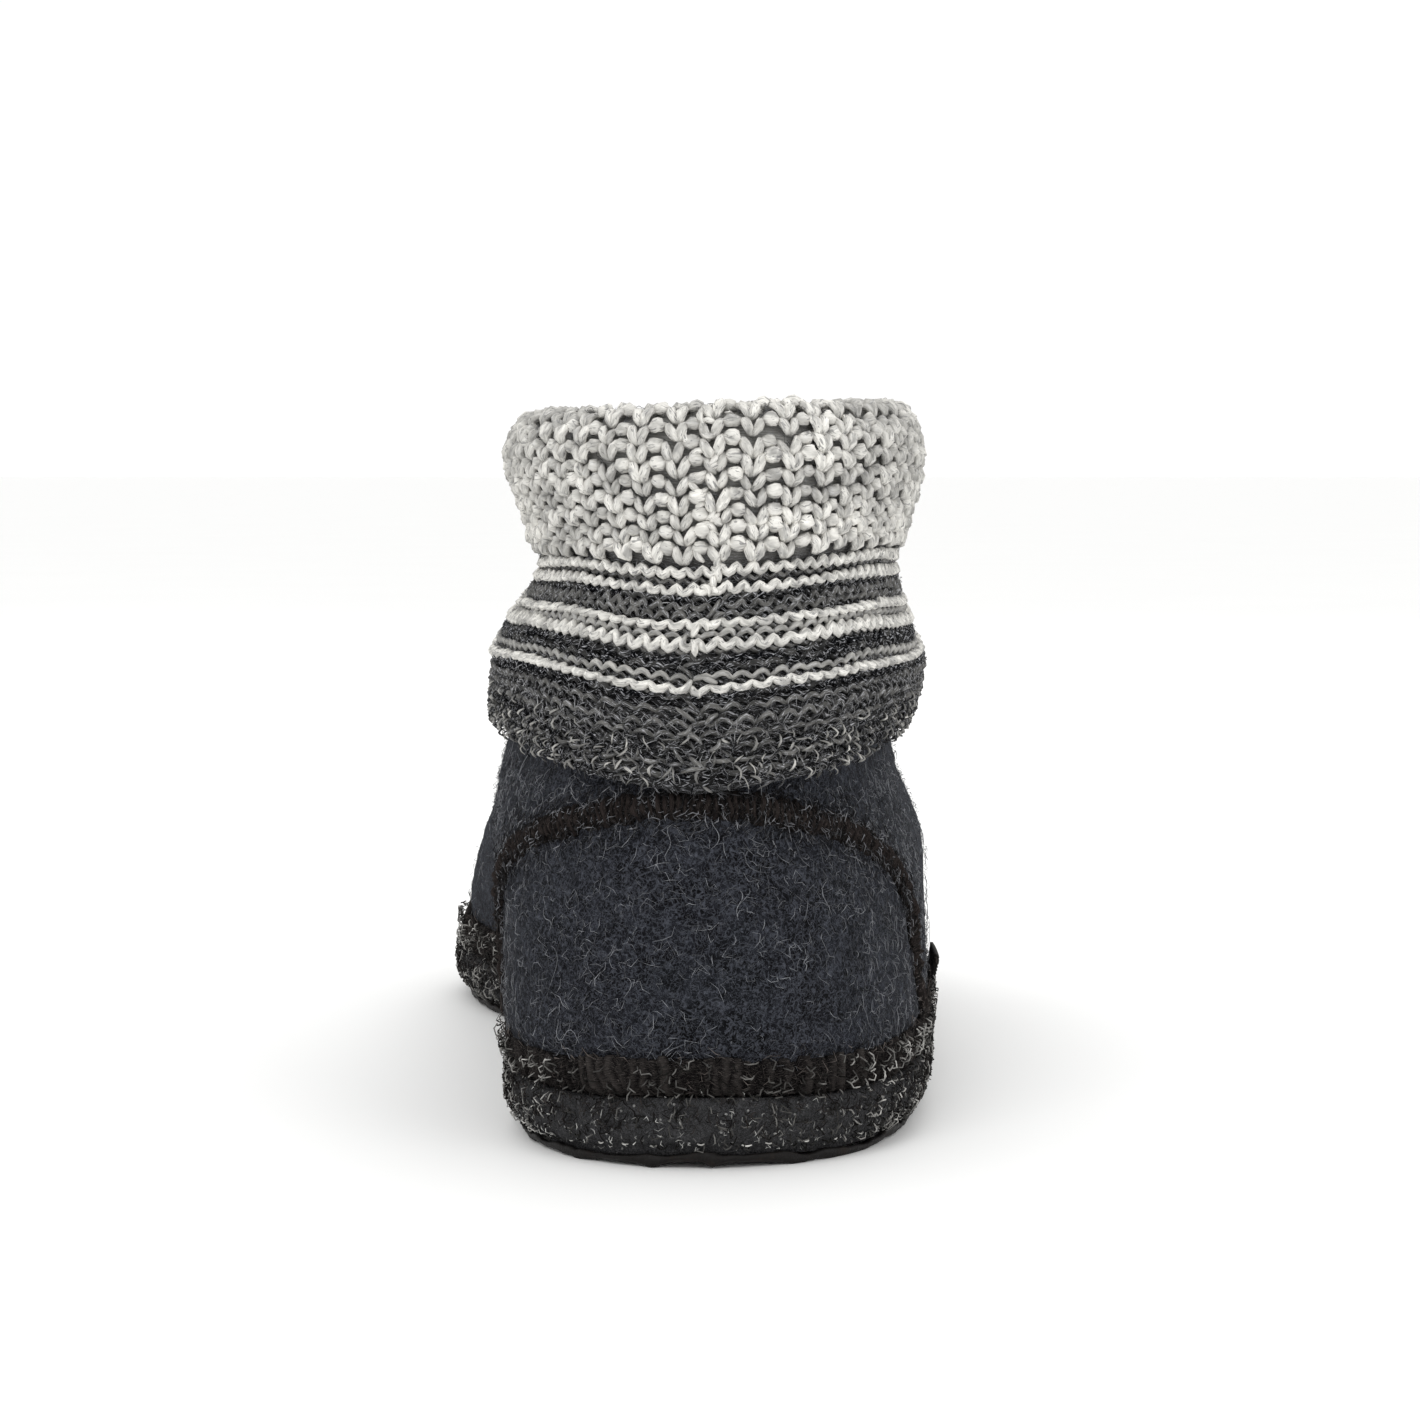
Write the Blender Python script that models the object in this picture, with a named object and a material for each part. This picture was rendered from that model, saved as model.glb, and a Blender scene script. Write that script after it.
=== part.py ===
"""Right-foot house slipper of boiled wool with a turned-down knitted cuff.

Metres, +Z up, the toe towards +Y and the outer side of the foot towards +X.
The origin is on the floor under the middle of the heel.

Every curved piece is worked out from one function, the upper's: closed sections that
start as the outline of the sole, climb the heel and the instep together and end as the
ring of the collar. A section is placed by its back point and its front point, and five
half widths between them give it its outline.
"""

import math

import bmesh
import bpy
import numpy as np

# Sole
SOLE_LENGTH = 0.276
HEEL_REACH = 0.036            # from the origin back to the end of the heel
BALL_WIDTH = 0.107
HEEL_WIDTH = 0.0785
OUTSOLE_THICKNESS = 0.0028
FELT_SOLE_THICKNESS = 0.0090
TOE_SPRING = 0.008            # how far the tip of the sole stands off the floor
SPRING_START = 0.165          # where the sole starts to rise towards the toe
HEEL_LIFT = 0.0015            # how far the end of the heel curls off the floor
HEEL_LIFT_LENGTH = 0.016
OUTSOLE_INSET = 0.0034        # the tread lies this far inside the rim of the felt sole
LUG_HEIGHT = 0.0012
LUG_SIDE = 0.0062
LUG_ROW_PITCH = 0.0082        # from one row of lugs to the next
LUG_PITCH = 0.0225            # from lug to lug in a row, every other row half a pitch aside
LUG_MARGIN = 0.0003           # least distance from a lug to the edge of the tread
LUG_ROOT = 0.0006             # how far a lug reaches into the sheet
SHEET_BEVEL = 0.0005

# Upper
UPPER_WALL = 0.0038
HEEL_HEIGHT = 0.0725          # from the sole to the collar at the back
INSTEP_HEIGHT = 0.0855        # from the sole to the collar in front
INSTEP_LEAN = -0.0030         # the ankle stands over the inner side of the sole
INSOLE_THICKNESS = 0.0030

# Stitched bands
WELT_HEIGHT = 0.0068
WELT_THICKNESS = 0.0016
HEEL_BAND_WIDTH = 0.0050
HEEL_BAND_THICKNESS = 0.0012
HEEL_BAND_TOP = 0.0652        # height of the middle of the arched band over the floor
HEEL_BAND_LEG_ANGLE = math.radians(52)

# Tab of folded tape in the outer side's seam
TAB_START = 0.076
TAB_LENGTH = 0.018
TAB_HEIGHT = 0.0105
TAB_THICKNESS = 0.0010

# Knitted cuff
KNIT_WALL = 0.0030
CUFF_HEIGHT = 0.1340          # floor to the middle of the wall at the fold
CUFF_HALF_WIDTH = 0.0370      # at the flare under the fold, to the middle of the wall
CUFF_SIDE_TILT = 0.030        # slope of the fold, up towards the outer side
HEM_BACK_LEVEL = 5.12         # where the hem crosses the upper's sections at the back
HEM_FRONT_LEVEL = 7.35        # and in front
HEM_ARCH = 0.88               # how much further it climbs beside the back seam, in sections
HEM_LOOSENESS = 0.0019        # how far the turned-down knit stands off the upper
HEM_SAG = 1.60                # how much more it does so on the outer side, as a share

CLEARANCE = 0.0003
FEATHER = OUTSOLE_THICKNESS + FELT_SOLE_THICKNESS + CLEARANCE   # foot of the upper over the floor
AROUND = 48                   # points round every section

# Where a section's half widths are given, as shares of its length from its back point
SHARES = np.array([0.05, 0.16, 0.42, 0.70, 0.92])

# Sections of the upper from the sole to the collar.
# rise and top: height of the back and front point, as shares of HEEL_HEIGHT and INSTEP_HEIGHT
# back and reach: how far the back and front point lie from the end of the heel, in SOLE_LENGTH
# near and heel in half HEEL_WIDTH; waist, ball and toe in half BALL_WIDTH
# lean: sideways shift of the whole section in INSTEP_LEAN
UPPER_COLUMNS = ("rise", "top", "back", "reach", "near", "heel", "waist", "ball", "toe", "lean")
UPPER_SECTIONS = np.array([
    (0.000, 0.000, 0.000, 1.000, 0.700, 0.990, 0.725, 0.980, 0.695, 0.00),
    (0.130, 0.120, -0.003, 1.003, 0.690, 0.980, 0.728, 0.925, 0.675, 0.25),
    (0.295, 0.250, -0.006, 0.988, 0.665, 0.965, 0.768, 0.918, 0.635, 0.50),
    (0.460, 0.360, -0.005, 0.936, 0.630, 0.940, 0.798, 0.885, 0.580, 0.80),
    (0.600, 0.450, 0.001, 0.842, 0.578, 0.890, 0.790, 0.830, 0.510, 1.20),
    (0.722, 0.560, 0.009, 0.725, 0.522, 0.815, 0.745, 0.748, 0.440, 1.25),
    (0.832, 0.690, 0.016, 0.620, 0.473, 0.740, 0.695, 0.670, 0.388, 1.10),
    (0.930, 0.845, 0.022, 0.540, 0.435, 0.680, 0.665, 0.622, 0.365, 1.00),
    (1.000, 1.000, 0.027, 0.480, 0.411, 0.640, 0.636, 0.593, 0.350, 1.00),
])
COLLAR = len(UPPER_SECTIONS) - 1

# The sole's middle line swings to the outer side at the waist and to the inner side at both ends
MIDLINE_SHARES = np.array([0.0, 0.16, 0.42, 0.70, 1.0])
MIDLINE_SWING = np.array([-0.028, -0.004, 0.050, -0.050, -0.100])   # in BALL_WIDTH

# Sections of the knit that stand clear of the upper, from the pinched ankle over the fold
# and down inside. height in CUFF_HEIGHT, tilt is what the front adds to it, back and front are
# distances from the origin in SOLE_LENGTH, width and side shift in CUFF_HALF_WIDTH
CUFF_COLUMNS = ("height", "tilt", "back", "front", "width", "side")
CUFF_SECTIONS = np.array([
    (0.765, 0.045, -0.104, 0.310, 0.880, 0.004),
    (0.835, 0.025, -0.103, 0.288, 0.918, 0.014),
    (0.925, 0.008, -0.109, 0.290, 1.000, -0.004),
    (0.974, 0.002, -0.107, 0.287, 0.990, -0.016),
    (1.000, 0.000, -0.096, 0.276, 0.897, -0.014),
    (0.974, 0.002, -0.084, 0.264, 0.800, -0.012),
    (0.880, 0.012, -0.083, 0.262, 0.785, -0.010),
    (0.765, 0.045, -0.086, 0.292, 0.750, 0.000),
])
RING_WIDTHS = np.array([0.45, 0.73, 1.00, 0.92, 0.54])        # outline of a cuff section


def smooth(at, stations, values):
    """Value at each point of a cubic curve through the stations, with central slopes."""
    at = np.asarray(at, float)
    slopes = np.gradient(values, stations, axis=0)
    i = np.clip(np.searchsorted(stations, at, side="right") - 1, 0, len(stations) - 2)
    span = stations[i + 1] - stations[i]
    f = (at - stations[i]) / span
    return (
        values[i] * (1 + 2 * f) * (1 - f) ** 2
        + slopes[i] * span * f * (1 - f) ** 2
        + values[i + 1] * f**2 * (3 - 2 * f)
        + slopes[i + 1] * span * f**2 * (f - 1)
    )


def half_width(phi, widths):
    """Signed half width at angle phi round a section: sine times five cosine waves.

    The waves take the section's half widths at SHARES, so both ends come out round.
    """
    angles = np.arccos(1 - 2 * SHARES)
    waves = np.arange(len(SHARES))
    fit = np.linalg.inv(np.cos(np.outer(angles, waves)))
    basis = np.cos(phi[..., None] * waves) @ fit / np.sin(angles)
    return np.sin(phi) * (basis * widths).sum(-1)


def sole_rise(y):
    """Height of the underside over the floor: toe spring in front and a curl at the heel."""
    toe = np.clip((y - SPRING_START) / (SOLE_LENGTH - HEEL_REACH - SPRING_START), 0, None)
    heel = np.clip((HEEL_LIFT_LENGTH - HEEL_REACH - y) / HEEL_LIFT_LENGTH, 0, None)
    return TOE_SPRING * toe**2 + HEEL_LIFT * heel**2


def midline(y):
    """Sideways place of the sole's middle line."""
    share = np.clip((y + HEEL_REACH) / SOLE_LENGTH, 0, 1)
    return smooth(share, MIDLINE_SHARES, MIDLINE_SWING * BALL_WIDTH)


def upper_points(phi, level, tucked=True):
    """Points on the outside of the upper at angle phi of section level, which may be a fraction."""
    phi, level = np.broadcast_arrays(np.asarray(phi, float), np.asarray(level, float))
    rows = np.arange(len(UPPER_SECTIONS), dtype=float)
    at = {
        name: smooth(level, rows, UPPER_SECTIONS[:, i])
        for i, name in enumerate(UPPER_COLUMNS)
    }
    # The lowest section steps in by the depth of the welt that covers it.
    tuck = (WELT_THICKNESS + 2 * CLEARANCE) * np.clip(1 - level, 0, 1) if tucked else 0 * level
    heel, ball = HEEL_WIDTH / 2, BALL_WIDTH / 2
    widths = np.stack(
        [
            at["near"] * heel,
            at["heel"] * heel,
            at["waist"] * ball,
            at["ball"] * ball,
            at["toe"] * ball,
        ],
        axis=-1,
    ) - tuck[..., None]
    back = at["back"] * SOLE_LENGTH - HEEL_REACH + tuck
    front = at["reach"] * SOLE_LENGTH - HEEL_REACH - tuck
    share = (1 - np.cos(phi)) / 2
    y = back + (front - back) * share
    rise, top = at["rise"] * HEEL_HEIGHT, at["top"] * INSTEP_HEIGHT
    swing = midline(y) * np.clip(1.35 - 1.8 * at["rise"], 0, 1)
    x = half_width(phi, widths) + swing + at["lean"] * INSTEP_LEAN
    z = FEATHER + rise + (top - rise) * share + sole_rise(y)
    return np.stack([x, y, z], axis=-1)


def upper_normals(phi, level):
    """Outward unit normals of the upper, from small steps along its two directions."""
    step = 1e-3
    level = np.clip(level, step, COLLAR - step)
    round_it = upper_points(phi + step, level) - upper_points(phi - step, level)
    up_it = upper_points(phi, level + step) - upper_points(phi, level - step)
    normal = np.cross(round_it, up_it)
    return normal / np.linalg.norm(normal, axis=-1, keepdims=True)


def upper_offset(phi, level, offset):
    """Points that lie offset outside the upper's outer surface."""
    phi, level = np.broadcast_arrays(np.asarray(phi, float), np.asarray(level, float))
    return upper_points(phi, level) + np.asarray(offset)[..., None] * upper_normals(phi, level)


def level_at_height(height):
    """Section whose back point stands at this height over the floor."""
    levels = np.linspace(0, COLLAR, 200)
    heights = upper_points(np.zeros_like(levels), levels)[:, 2]
    return np.interp(height, heights, levels)


def grid_normals(grid):
    """Unit normals of a grid of points closed round its second direction."""
    around = np.roll(grid, -1, axis=1) - np.roll(grid, 1, axis=1)
    along = np.gradient(grid, axis=0)
    normal = np.cross(around, along)
    return normal / np.linalg.norm(normal, axis=-1, keepdims=True)


def object_from(name, points, faces, material, smooth_angle=40):
    """One named mesh object, with its normals made to point outwards."""
    mesh = bpy.data.meshes.new(name)
    mesh.from_pydata([tuple(p) for p in points], [], faces)
    work = bmesh.new()
    work.from_mesh(mesh)
    bmesh.ops.recalc_face_normals(work, faces=work.faces)
    bmesh.ops.triangulate(work, faces=work.faces)
    work.to_mesh(mesh)
    work.free()
    mesh.shade_smooth()
    mesh.set_sharp_from_angle(angle=math.radians(smooth_angle))
    mesh.materials.append(material)
    made = bpy.data.objects.new(name, mesh)
    bpy.context.scene.collection.objects.link(made)
    return made


def loop_faces(first, second, count, closed=True):
    """Quads between two rows of count points that start at these indices."""
    last = count if closed else count - 1
    return [
        (first + i, first + (i + 1) % count, second + (i + 1) % count, second + i)
        for i in range(last)
    ]


def hollow_ring(name, outer, inner, material):
    """Solid between two grids closed round their second direction, rims included."""
    rows, count = outer.shape[:2]
    rings = np.concatenate([outer, inner[::-1]])
    faces = []
    for row in range(2 * rows):
        faces += loop_faces(row * count, (row + 1) % (2 * rows) * count, count)
    return object_from(name, rings.reshape(-1, 3), faces, material)


def swept_bar(name, sections, material):
    """Solid through open rows of closed cross-sections, with both ends filled."""
    rows, count = sections.shape[:2]
    faces = []
    for row in range(rows - 1):
        faces += loop_faces(row * count, (row + 1) * count, count)
    faces.append(tuple(range(count)))
    faces.append(tuple((rows - 1) * count + i for i in range(count)))
    return object_from(name, sections.reshape(-1, 3), faces, material)


def stacked_slab(name, rings, material):
    """Solid through stacked rings, closed by strips that join each ring's two sides."""
    rows, count = rings.shape[:2]
    faces = []
    for row in range(rows - 1):
        faces += loop_faces(row * count, (row + 1) * count, count)
    for start in (0, (rows - 1) * count):
        for i in range(count // 2):
            strip = (i, i + 1, (count - i - 1) % count, (count - i) % count)
            faces.append(tuple(dict.fromkeys(start + corner for corner in strip)))
    return object_from(name, rings.reshape(-1, 3), faces, material)


def sole_ring(inset, height):
    """The rim's outline moved inwards by inset, at this height over the sole's underside."""
    phi = around_angles()
    rim = upper_points(phi, np.zeros_like(phi), tucked=False)[:, :2]
    step = np.roll(rim, -1, axis=0) - np.roll(rim, 1, axis=0)
    outward = np.stack([step[:, 1], -step[:, 0]], axis=1)
    outward /= np.linalg.norm(outward, axis=1, keepdims=True)
    outward *= np.sign((outward * (rim - rim.mean(axis=0))).sum())
    plan = rim - inset * outward
    return np.column_stack([plan, height + sole_rise(plan[:, 1])])


def seated(ring):
    """The ring moved up or down onto the line just over the felt sole."""
    return np.column_stack([ring[:, :2], FEATHER + sole_rise(ring[:, 1])])


def around_angles():
    """Angles of the points round a section, from the back point over the outer side."""
    return np.arange(AROUND) * 2 * math.pi / AROUND


def make_material(name, colour, roughness):
    """Principled material with one colour in linear light."""
    material = bpy.data.materials.new(name)
    material.use_nodes = True
    shader = material.node_tree.nodes["Principled BSDF"]
    shader.inputs["Base Color"].default_value = (*colour, 1.0)
    shader.inputs["Roughness"].default_value = roughness
    shader.inputs["Metallic"].default_value = 0.0
    return material


def make_outsole(material):
    """Thin rubber sheet with a tread of square lugs in staggered rows."""
    low = LUG_HEIGHT
    top = OUTSOLE_THICKNESS - CLEARANCE
    profile = ((SHEET_BEVEL, low), (0.0, low + SHEET_BEVEL), (0.0, top))
    rings = [sole_ring(OUTSOLE_INSET + inset, height) for inset, height in profile]
    outsole = stacked_slab("outsole", np.array(rings), material)
    joined = outsole.modifiers.new("lugs", "BOOLEAN")
    joined.operation = "UNION"
    joined.object = make_lugs(rings[0])
    return outsole


def make_lugs(edge):
    """Helper with every lug that keeps its margin inside the edge, reaching into the sheet."""
    count = AROUND // 2 + 1
    outer, inner = edge[:count], np.roll(edge[::-1], 1, axis=0)[:count]
    reach = LUG_SIDE / 2 + LUG_MARGIN
    first = -round((HEEL_REACH - OUTSOLE_INSET) / LUG_ROW_PITCH)
    last = round((SOLE_LENGTH - HEEL_REACH) / LUG_ROW_PITCH)
    work = bmesh.new()
    for row in range(first, last):
        y = row * LUG_ROW_PITCH
        span = np.array([y - reach, y + reach])
        if span[0] < edge[:, 1].min() or span[1] > edge[:, 1].max():
            continue
        least = np.interp(span, inner[:, 1], inner[:, 0]).max() + reach
        most = np.interp(span, outer[:, 1], outer[:, 0]).min() - reach
        aside = (row % 2) * LUG_PITCH / 2
        for x in np.arange(-2, 3) * LUG_PITCH + aside:
            if not least < x < most:
                continue
            for vertex in bmesh.ops.create_cube(work, size=1.0)["verts"]:
                vertex.co.x = x + vertex.co.x * LUG_SIDE
                vertex.co.y = y + vertex.co.y * LUG_SIDE
                height = 0.0 if vertex.co.z < 0 else LUG_HEIGHT + LUG_ROOT
                vertex.co.z = float(sole_rise(vertex.co.y)) + height
    mesh = bpy.data.meshes.new("lugs")
    work.to_mesh(mesh)
    work.free()
    lugs = bpy.data.objects.new("lugs", mesh)
    lugs.hide_render = True
    lugs.display_type = "WIRE"
    bpy.context.scene.collection.objects.link(lugs)
    return lugs


def make_felt_sole(material):
    """Thick felt sole whose side swells outwards and turns under to the tread."""
    profile = ((1.00, 0.00), (0.45, 0.14), (0.12, 0.36), (0.00, 0.62), (0.00, 0.88), (0.12, 1.00))
    rings = [
        sole_ring(inset * OUTSOLE_INSET, OUTSOLE_THICKNESS + share * FELT_SOLE_THICKNESS)
        for inset, share in profile
    ]
    return stacked_slab("felt_sole", np.array(rings), material)


def make_insole(material):
    """Felt insole inside the upper's wall."""
    phi = around_angles()
    inside = np.full_like(phi, -UPPER_WALL - 2 * CLEARANCE)
    top_level = INSOLE_THICKNESS / (UPPER_SECTIONS[1, 0] * HEEL_HEIGHT)
    low = seated(upper_offset(phi, 0.0, inside))
    high = seated(upper_offset(phi, top_level, inside)) + np.array([0, 0, INSOLE_THICKNESS])
    return stacked_slab("insole", np.array([low, high]), material)


def make_upper(material):
    """Hollow felt upper, open at the collar and where the sole closes it."""
    levels = np.linspace(0, COLLAR, 2 * COLLAR + 1)
    phi, level = np.meshgrid(around_angles(), levels)
    outer = upper_points(phi, level)
    inner = upper_offset(phi, level, np.full_like(phi, -UPPER_WALL))
    outer[0], inner[0] = seated(outer[0]), seated(inner[0])
    return hollow_ring("upper", outer, inner, material)


def make_welt(material):
    """Overcast band round the foot of the upper, where the sole is sewn on."""
    top_level = level_at_height(FEATHER + WELT_HEIGHT + HEEL_LIFT)
    levels = np.linspace(0, top_level, 4)
    fullness = np.array([0.70, 1.0, 1.0, 0.55])
    phi, level = np.meshgrid(around_angles(), levels)
    full = np.repeat(fullness[:, None], AROUND, axis=1)
    outer = upper_offset(phi, level, CLEARANCE + full * WELT_THICKNESS)
    inner = upper_offset(phi, level, np.full_like(phi, CLEARANCE))
    outer[0], inner[0] = seated(outer[0]), seated(inner[0])
    return hollow_ring("welt", outer, inner, material)


def heel_band_path(turns):
    """Angle and section along the middle of the arched band, from one leg to the other."""
    low = FEATHER + HEEL_LIFT + WELT_HEIGHT + HEEL_BAND_WIDTH / 2
    bend = np.sin(turns) ** 0.42
    return HEEL_BAND_LEG_ANGLE * np.cos(turns), level_at_height(low + (HEEL_BAND_TOP - low) * bend)


def make_heel_band(material):
    """Arched band of stitches that joins the heel panel to the sides."""
    turns = np.linspace(0, math.pi, 33)
    phi, level = heel_band_path(turns)
    middle, normal = upper_points(phi, level), upper_normals(phi, level)
    run = np.gradient(middle, axis=0)
    run /= np.linalg.norm(run, axis=1, keepdims=True)
    across = np.cross(normal, run)
    profile = ((-0.5, 0.0), (-0.38, 0.8), (0.0, 1.0), (0.38, 0.8), (0.5, 0.0))
    sections = [
        middle
        + share * HEEL_BAND_WIDTH * across
        + (CLEARANCE + height * HEEL_BAND_THICKNESS) * normal
        for share, height in profile
    ]
    return swept_bar("heel_band", np.stack(sections, axis=1), material)


def make_side_tab(material):
    """Folded tape that stands up from the welt on the outer side."""
    spots = np.linspace(0, math.pi, 400)
    along = upper_points(spots, np.zeros_like(spots))[:, 1]
    ends = np.interp((TAB_START, TAB_START + TAB_LENGTH), along, spots)
    phi = np.linspace(*ends, 5)
    low = FEATHER + HEEL_LIFT + 2 * CLEARANCE
    levels = level_at_height(low + TAB_HEIGHT * np.array([0.0, 0.5, 0.9, 1.0]))
    base = WELT_THICKNESS + 2 * CLEARANCE
    fullness = np.array([1.0, 1.0, 0.95, 0.45])
    rows = []
    for angle in phi:
        angles = np.full_like(levels, angle)
        inner = upper_offset(angles, levels, np.full_like(levels, base))
        outer = upper_offset(angles, levels, base + fullness * TAB_THICKNESS)
        rows.append(np.concatenate([inner, outer[::-1]]))
    return swept_bar("side_tab", np.array(rows), material)


def cuff_rings():
    """Rings of the knit's middle surface from the hem, over the fold, to its foot inside."""
    phi = around_angles()
    share = (1 - np.cos(phi)) / 2
    # The hem hangs lowest at the back seam and climbs on both sides of it.
    arch = HEM_ARCH * np.abs(np.sin(phi)) * np.clip(np.cos(phi), 0, None)
    hem = HEM_BACK_LEVEL + (HEM_FRONT_LEVEL - HEM_BACK_LEVEL) * share**0.8 + arch
    clear = CLEARANCE * 1.5 + KNIT_WALL / 2
    loose = np.array([0.0, 0.55, 1.0, 0.75]) * HEM_LOOSENESS
    sag = 1 + HEM_SAG * np.clip(np.sin(phi), 0, None)
    over_band = (HEEL_BAND_THICKNESS + CLEARANCE) * np.clip(1.6 - share / 0.06, 0, 1)
    rings = []
    for portion, slack in zip((0.0, 0.33, 0.66, 1.0), loose):
        level = hem + (COLLAR - hem) * portion
        stand_off = np.maximum(slack * sag, over_band)
        rings.append(upper_offset(phi, level, clear + stand_off))
    for row in CUFF_SECTIONS:
        at = dict(zip(CUFF_COLUMNS, row))
        back, front = at["back"] * SOLE_LENGTH, at["front"] * SOLE_LENGTH
        width = at["width"] * CUFF_HALF_WIDTH
        x = half_width(phi, RING_WIDTHS * width) + at["side"] * CUFF_HALF_WIDTH
        height = CUFF_HEIGHT * (at["height"] + at["tilt"] * share) + CUFF_SIDE_TILT * x
        rings.append(np.column_stack([x, back + (front - back) * share, height]))
    foot = upper_offset(phi, np.full_like(phi, COLLAR), np.full_like(phi, -UPPER_WALL / 2))
    rings.append(foot + np.array([0, 0, 3 * CLEARANCE]))
    return np.array(rings)


def make_cuff(material):
    """Knitted cuff: a tube that climbs from the collar, folds out and hangs over the upper."""
    rings = cuff_rings()
    stations = np.arange(len(rings), dtype=float)
    steps = np.linspace(0, len(rings) - 1, 21)
    flat = rings.reshape(len(rings), -1)
    middle = np.array([smooth(s, stations, flat) for s in steps]).reshape(len(steps), AROUND, 3)
    normal = grid_normals(middle)
    outer = middle + normal * KNIT_WALL / 2
    inner = middle - normal * KNIT_WALL / 2
    return hollow_ring("cuff", outer, inner, material)


def clear_scene():
    """Removes the objects that Blender starts with."""
    for obj in list(bpy.data.objects):
        bpy.data.objects.remove(obj, do_unlink=True)


def main():
    """Builds the slipper from the floor upwards."""
    clear_scene()
    make_outsole(make_material("black_rubber", (0.020, 0.016, 0.014), 0.65))
    make_felt_sole(make_material("marled_felt", (0.060, 0.058, 0.060), 0.95))
    make_insole(make_material("grey_felt", (0.110, 0.110, 0.115), 0.95))
    make_upper(make_material("navy_boiled_wool", (0.024, 0.028, 0.038), 0.95))
    make_welt(make_material("brown_black_overcast", (0.020, 0.015, 0.014), 0.90))
    make_heel_band(make_material("brown_black_yarn", (0.020, 0.015, 0.014), 0.90))
    make_side_tab(make_material("black_tape", (0.014, 0.013, 0.012), 0.80))
    make_cuff(make_material("grey_marl_knit", (0.320, 0.315, 0.305), 0.95))


main()
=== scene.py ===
"""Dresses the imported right-foot house slipper: boiled wool, knitted cuff, felt and rubber sole.

Metres, +Z up, the toe towards +Y and the outer side of the foot towards +X, as in the CAD.
The slipper is seen from behind. Its surfaces are worked out from the same sections as the
solids; the knitting, the hairs of the wool and the threads of the seams are tubes laid on
maps of those surfaces.
"""

import logging
import math
from collections.abc import Callable, Sequence
from dataclasses import dataclass
from enum import Enum
from functools import partial
from typing import ClassVar

import bpy
import numpy as np
from numpy.typing import NDArray
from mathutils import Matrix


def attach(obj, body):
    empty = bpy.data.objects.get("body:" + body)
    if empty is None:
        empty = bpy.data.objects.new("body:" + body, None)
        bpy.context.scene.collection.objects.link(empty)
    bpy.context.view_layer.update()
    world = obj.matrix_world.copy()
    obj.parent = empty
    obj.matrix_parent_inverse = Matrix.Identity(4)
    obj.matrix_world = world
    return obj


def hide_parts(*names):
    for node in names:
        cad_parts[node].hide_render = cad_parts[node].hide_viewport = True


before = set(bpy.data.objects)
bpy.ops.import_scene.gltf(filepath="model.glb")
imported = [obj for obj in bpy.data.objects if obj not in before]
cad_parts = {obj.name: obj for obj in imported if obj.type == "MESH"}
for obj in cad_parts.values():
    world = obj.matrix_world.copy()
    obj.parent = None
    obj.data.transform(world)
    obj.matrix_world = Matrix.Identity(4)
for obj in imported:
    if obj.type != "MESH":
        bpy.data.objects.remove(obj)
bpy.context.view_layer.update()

Array = NDArray[np.float64]
Numbers = NDArray[np.int64]
Triple = tuple[float, float, float]
Inputs = dict[str | int, object] | Sequence[object]
Adder = Callable[..., bpy.types.NodeSocket]
Sockets = dict[str, bpy.types.NodeSocket]
LOG = logging.getLogger("slipper")
MM = 0.001
# Millimetres by which each tube's pattern starts further on than that of the one before
PATTERN_STEP = 37.3


class Slot(Enum):
    """Material slots of the record that the pieces take their finish from."""

    RUBBER = "black_rubber"
    SOLE_FELT = "marled_felt"
    INSOLE_FELT = "grey_felt"
    BOILED_WOOL = "navy_boiled_wool"
    WELT_YARN = "brown_black_overcast"
    BAND_YARN = "brown_black_yarn"
    TAPE = "black_tape"
    KNIT = "grey_marl_knit"


class Shade(Enum):
    """Shades of the cuff's yarn, from 0, charcoal, to 1, ecru."""

    CHARCOAL = 0.01
    SLATE = 0.035
    GREY = 0.13
    PALE = 0.45
    ECRU = 0.97


def smooth(at: Array, stations: Array, values: Array) -> Array:
    """Value of a cubic Hermite curve through the stations, with central slopes.

    Args:
        at: places to read the curve at.
        stations: rising places of the given values.
        values: one row of values a station.

    Returns:
        One value, or one row of values, for each place.
    """
    at = np.asarray(at, float)
    slopes = np.gradient(values, stations, axis=0)
    i = np.clip(np.searchsorted(stations, at, side="right") - 1, 0, len(stations) - 2)
    span = stations[i + 1] - stations[i]
    f = (at - stations[i]) / span
    if values.ndim > 1:
        f, span = f[..., None], span[..., None]
    return (
        values[i] * (1 + 2 * f) * (1 - f) ** 2
        + slopes[i] * span * f * (1 - f) ** 2
        + values[i + 1] * f**2 * (3 - 2 * f)
        + slopes[i + 1] * span * f**2 * (f - 1)
    )


def unit(vectors: Array) -> Array:
    """Vectors at length one."""
    return vectors / np.maximum(np.linalg.norm(vectors, axis=-1, keepdims=True), 1e-12)


def lattice(u: Array, v: Array, cells: tuple[int, int], seed: int) -> Array:
    """Smooth random relief between -1 and 1 that repeats once in u and v.

    Random heights on a lattice of cells, blended with f * f * (3 - 2 f) between neighbours.

    Args:
        u: place along the first direction, one cell pattern from 0 to 1.
        v: place along the second direction, one cell pattern from 0 to 1.
        cells: cells along u and v.
        seed: seed of the heights.

    Returns:
        Height at each place.
    """
    heights = np.random.default_rng(seed).uniform(-1, 1, cells)
    x, y = (u % 1) * cells[0], (v % 1) * cells[1]
    i, j = np.floor(x).astype(int), np.floor(y).astype(int)
    fx, fy = x - i, y - j
    fx, fy = fx * fx * (3 - 2 * fx), fy * fy * (3 - 2 * fy)
    i, j = i % cells[0], j % cells[1]
    i1, j1 = (i + 1) % cells[0], (j + 1) % cells[1]
    low = heights[i, j] * (1 - fx) + heights[i1, j] * fx
    high = heights[i, j1] * (1 - fx) + heights[i1, j1] * fx
    return low * (1 - fy) + high * fy


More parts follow.
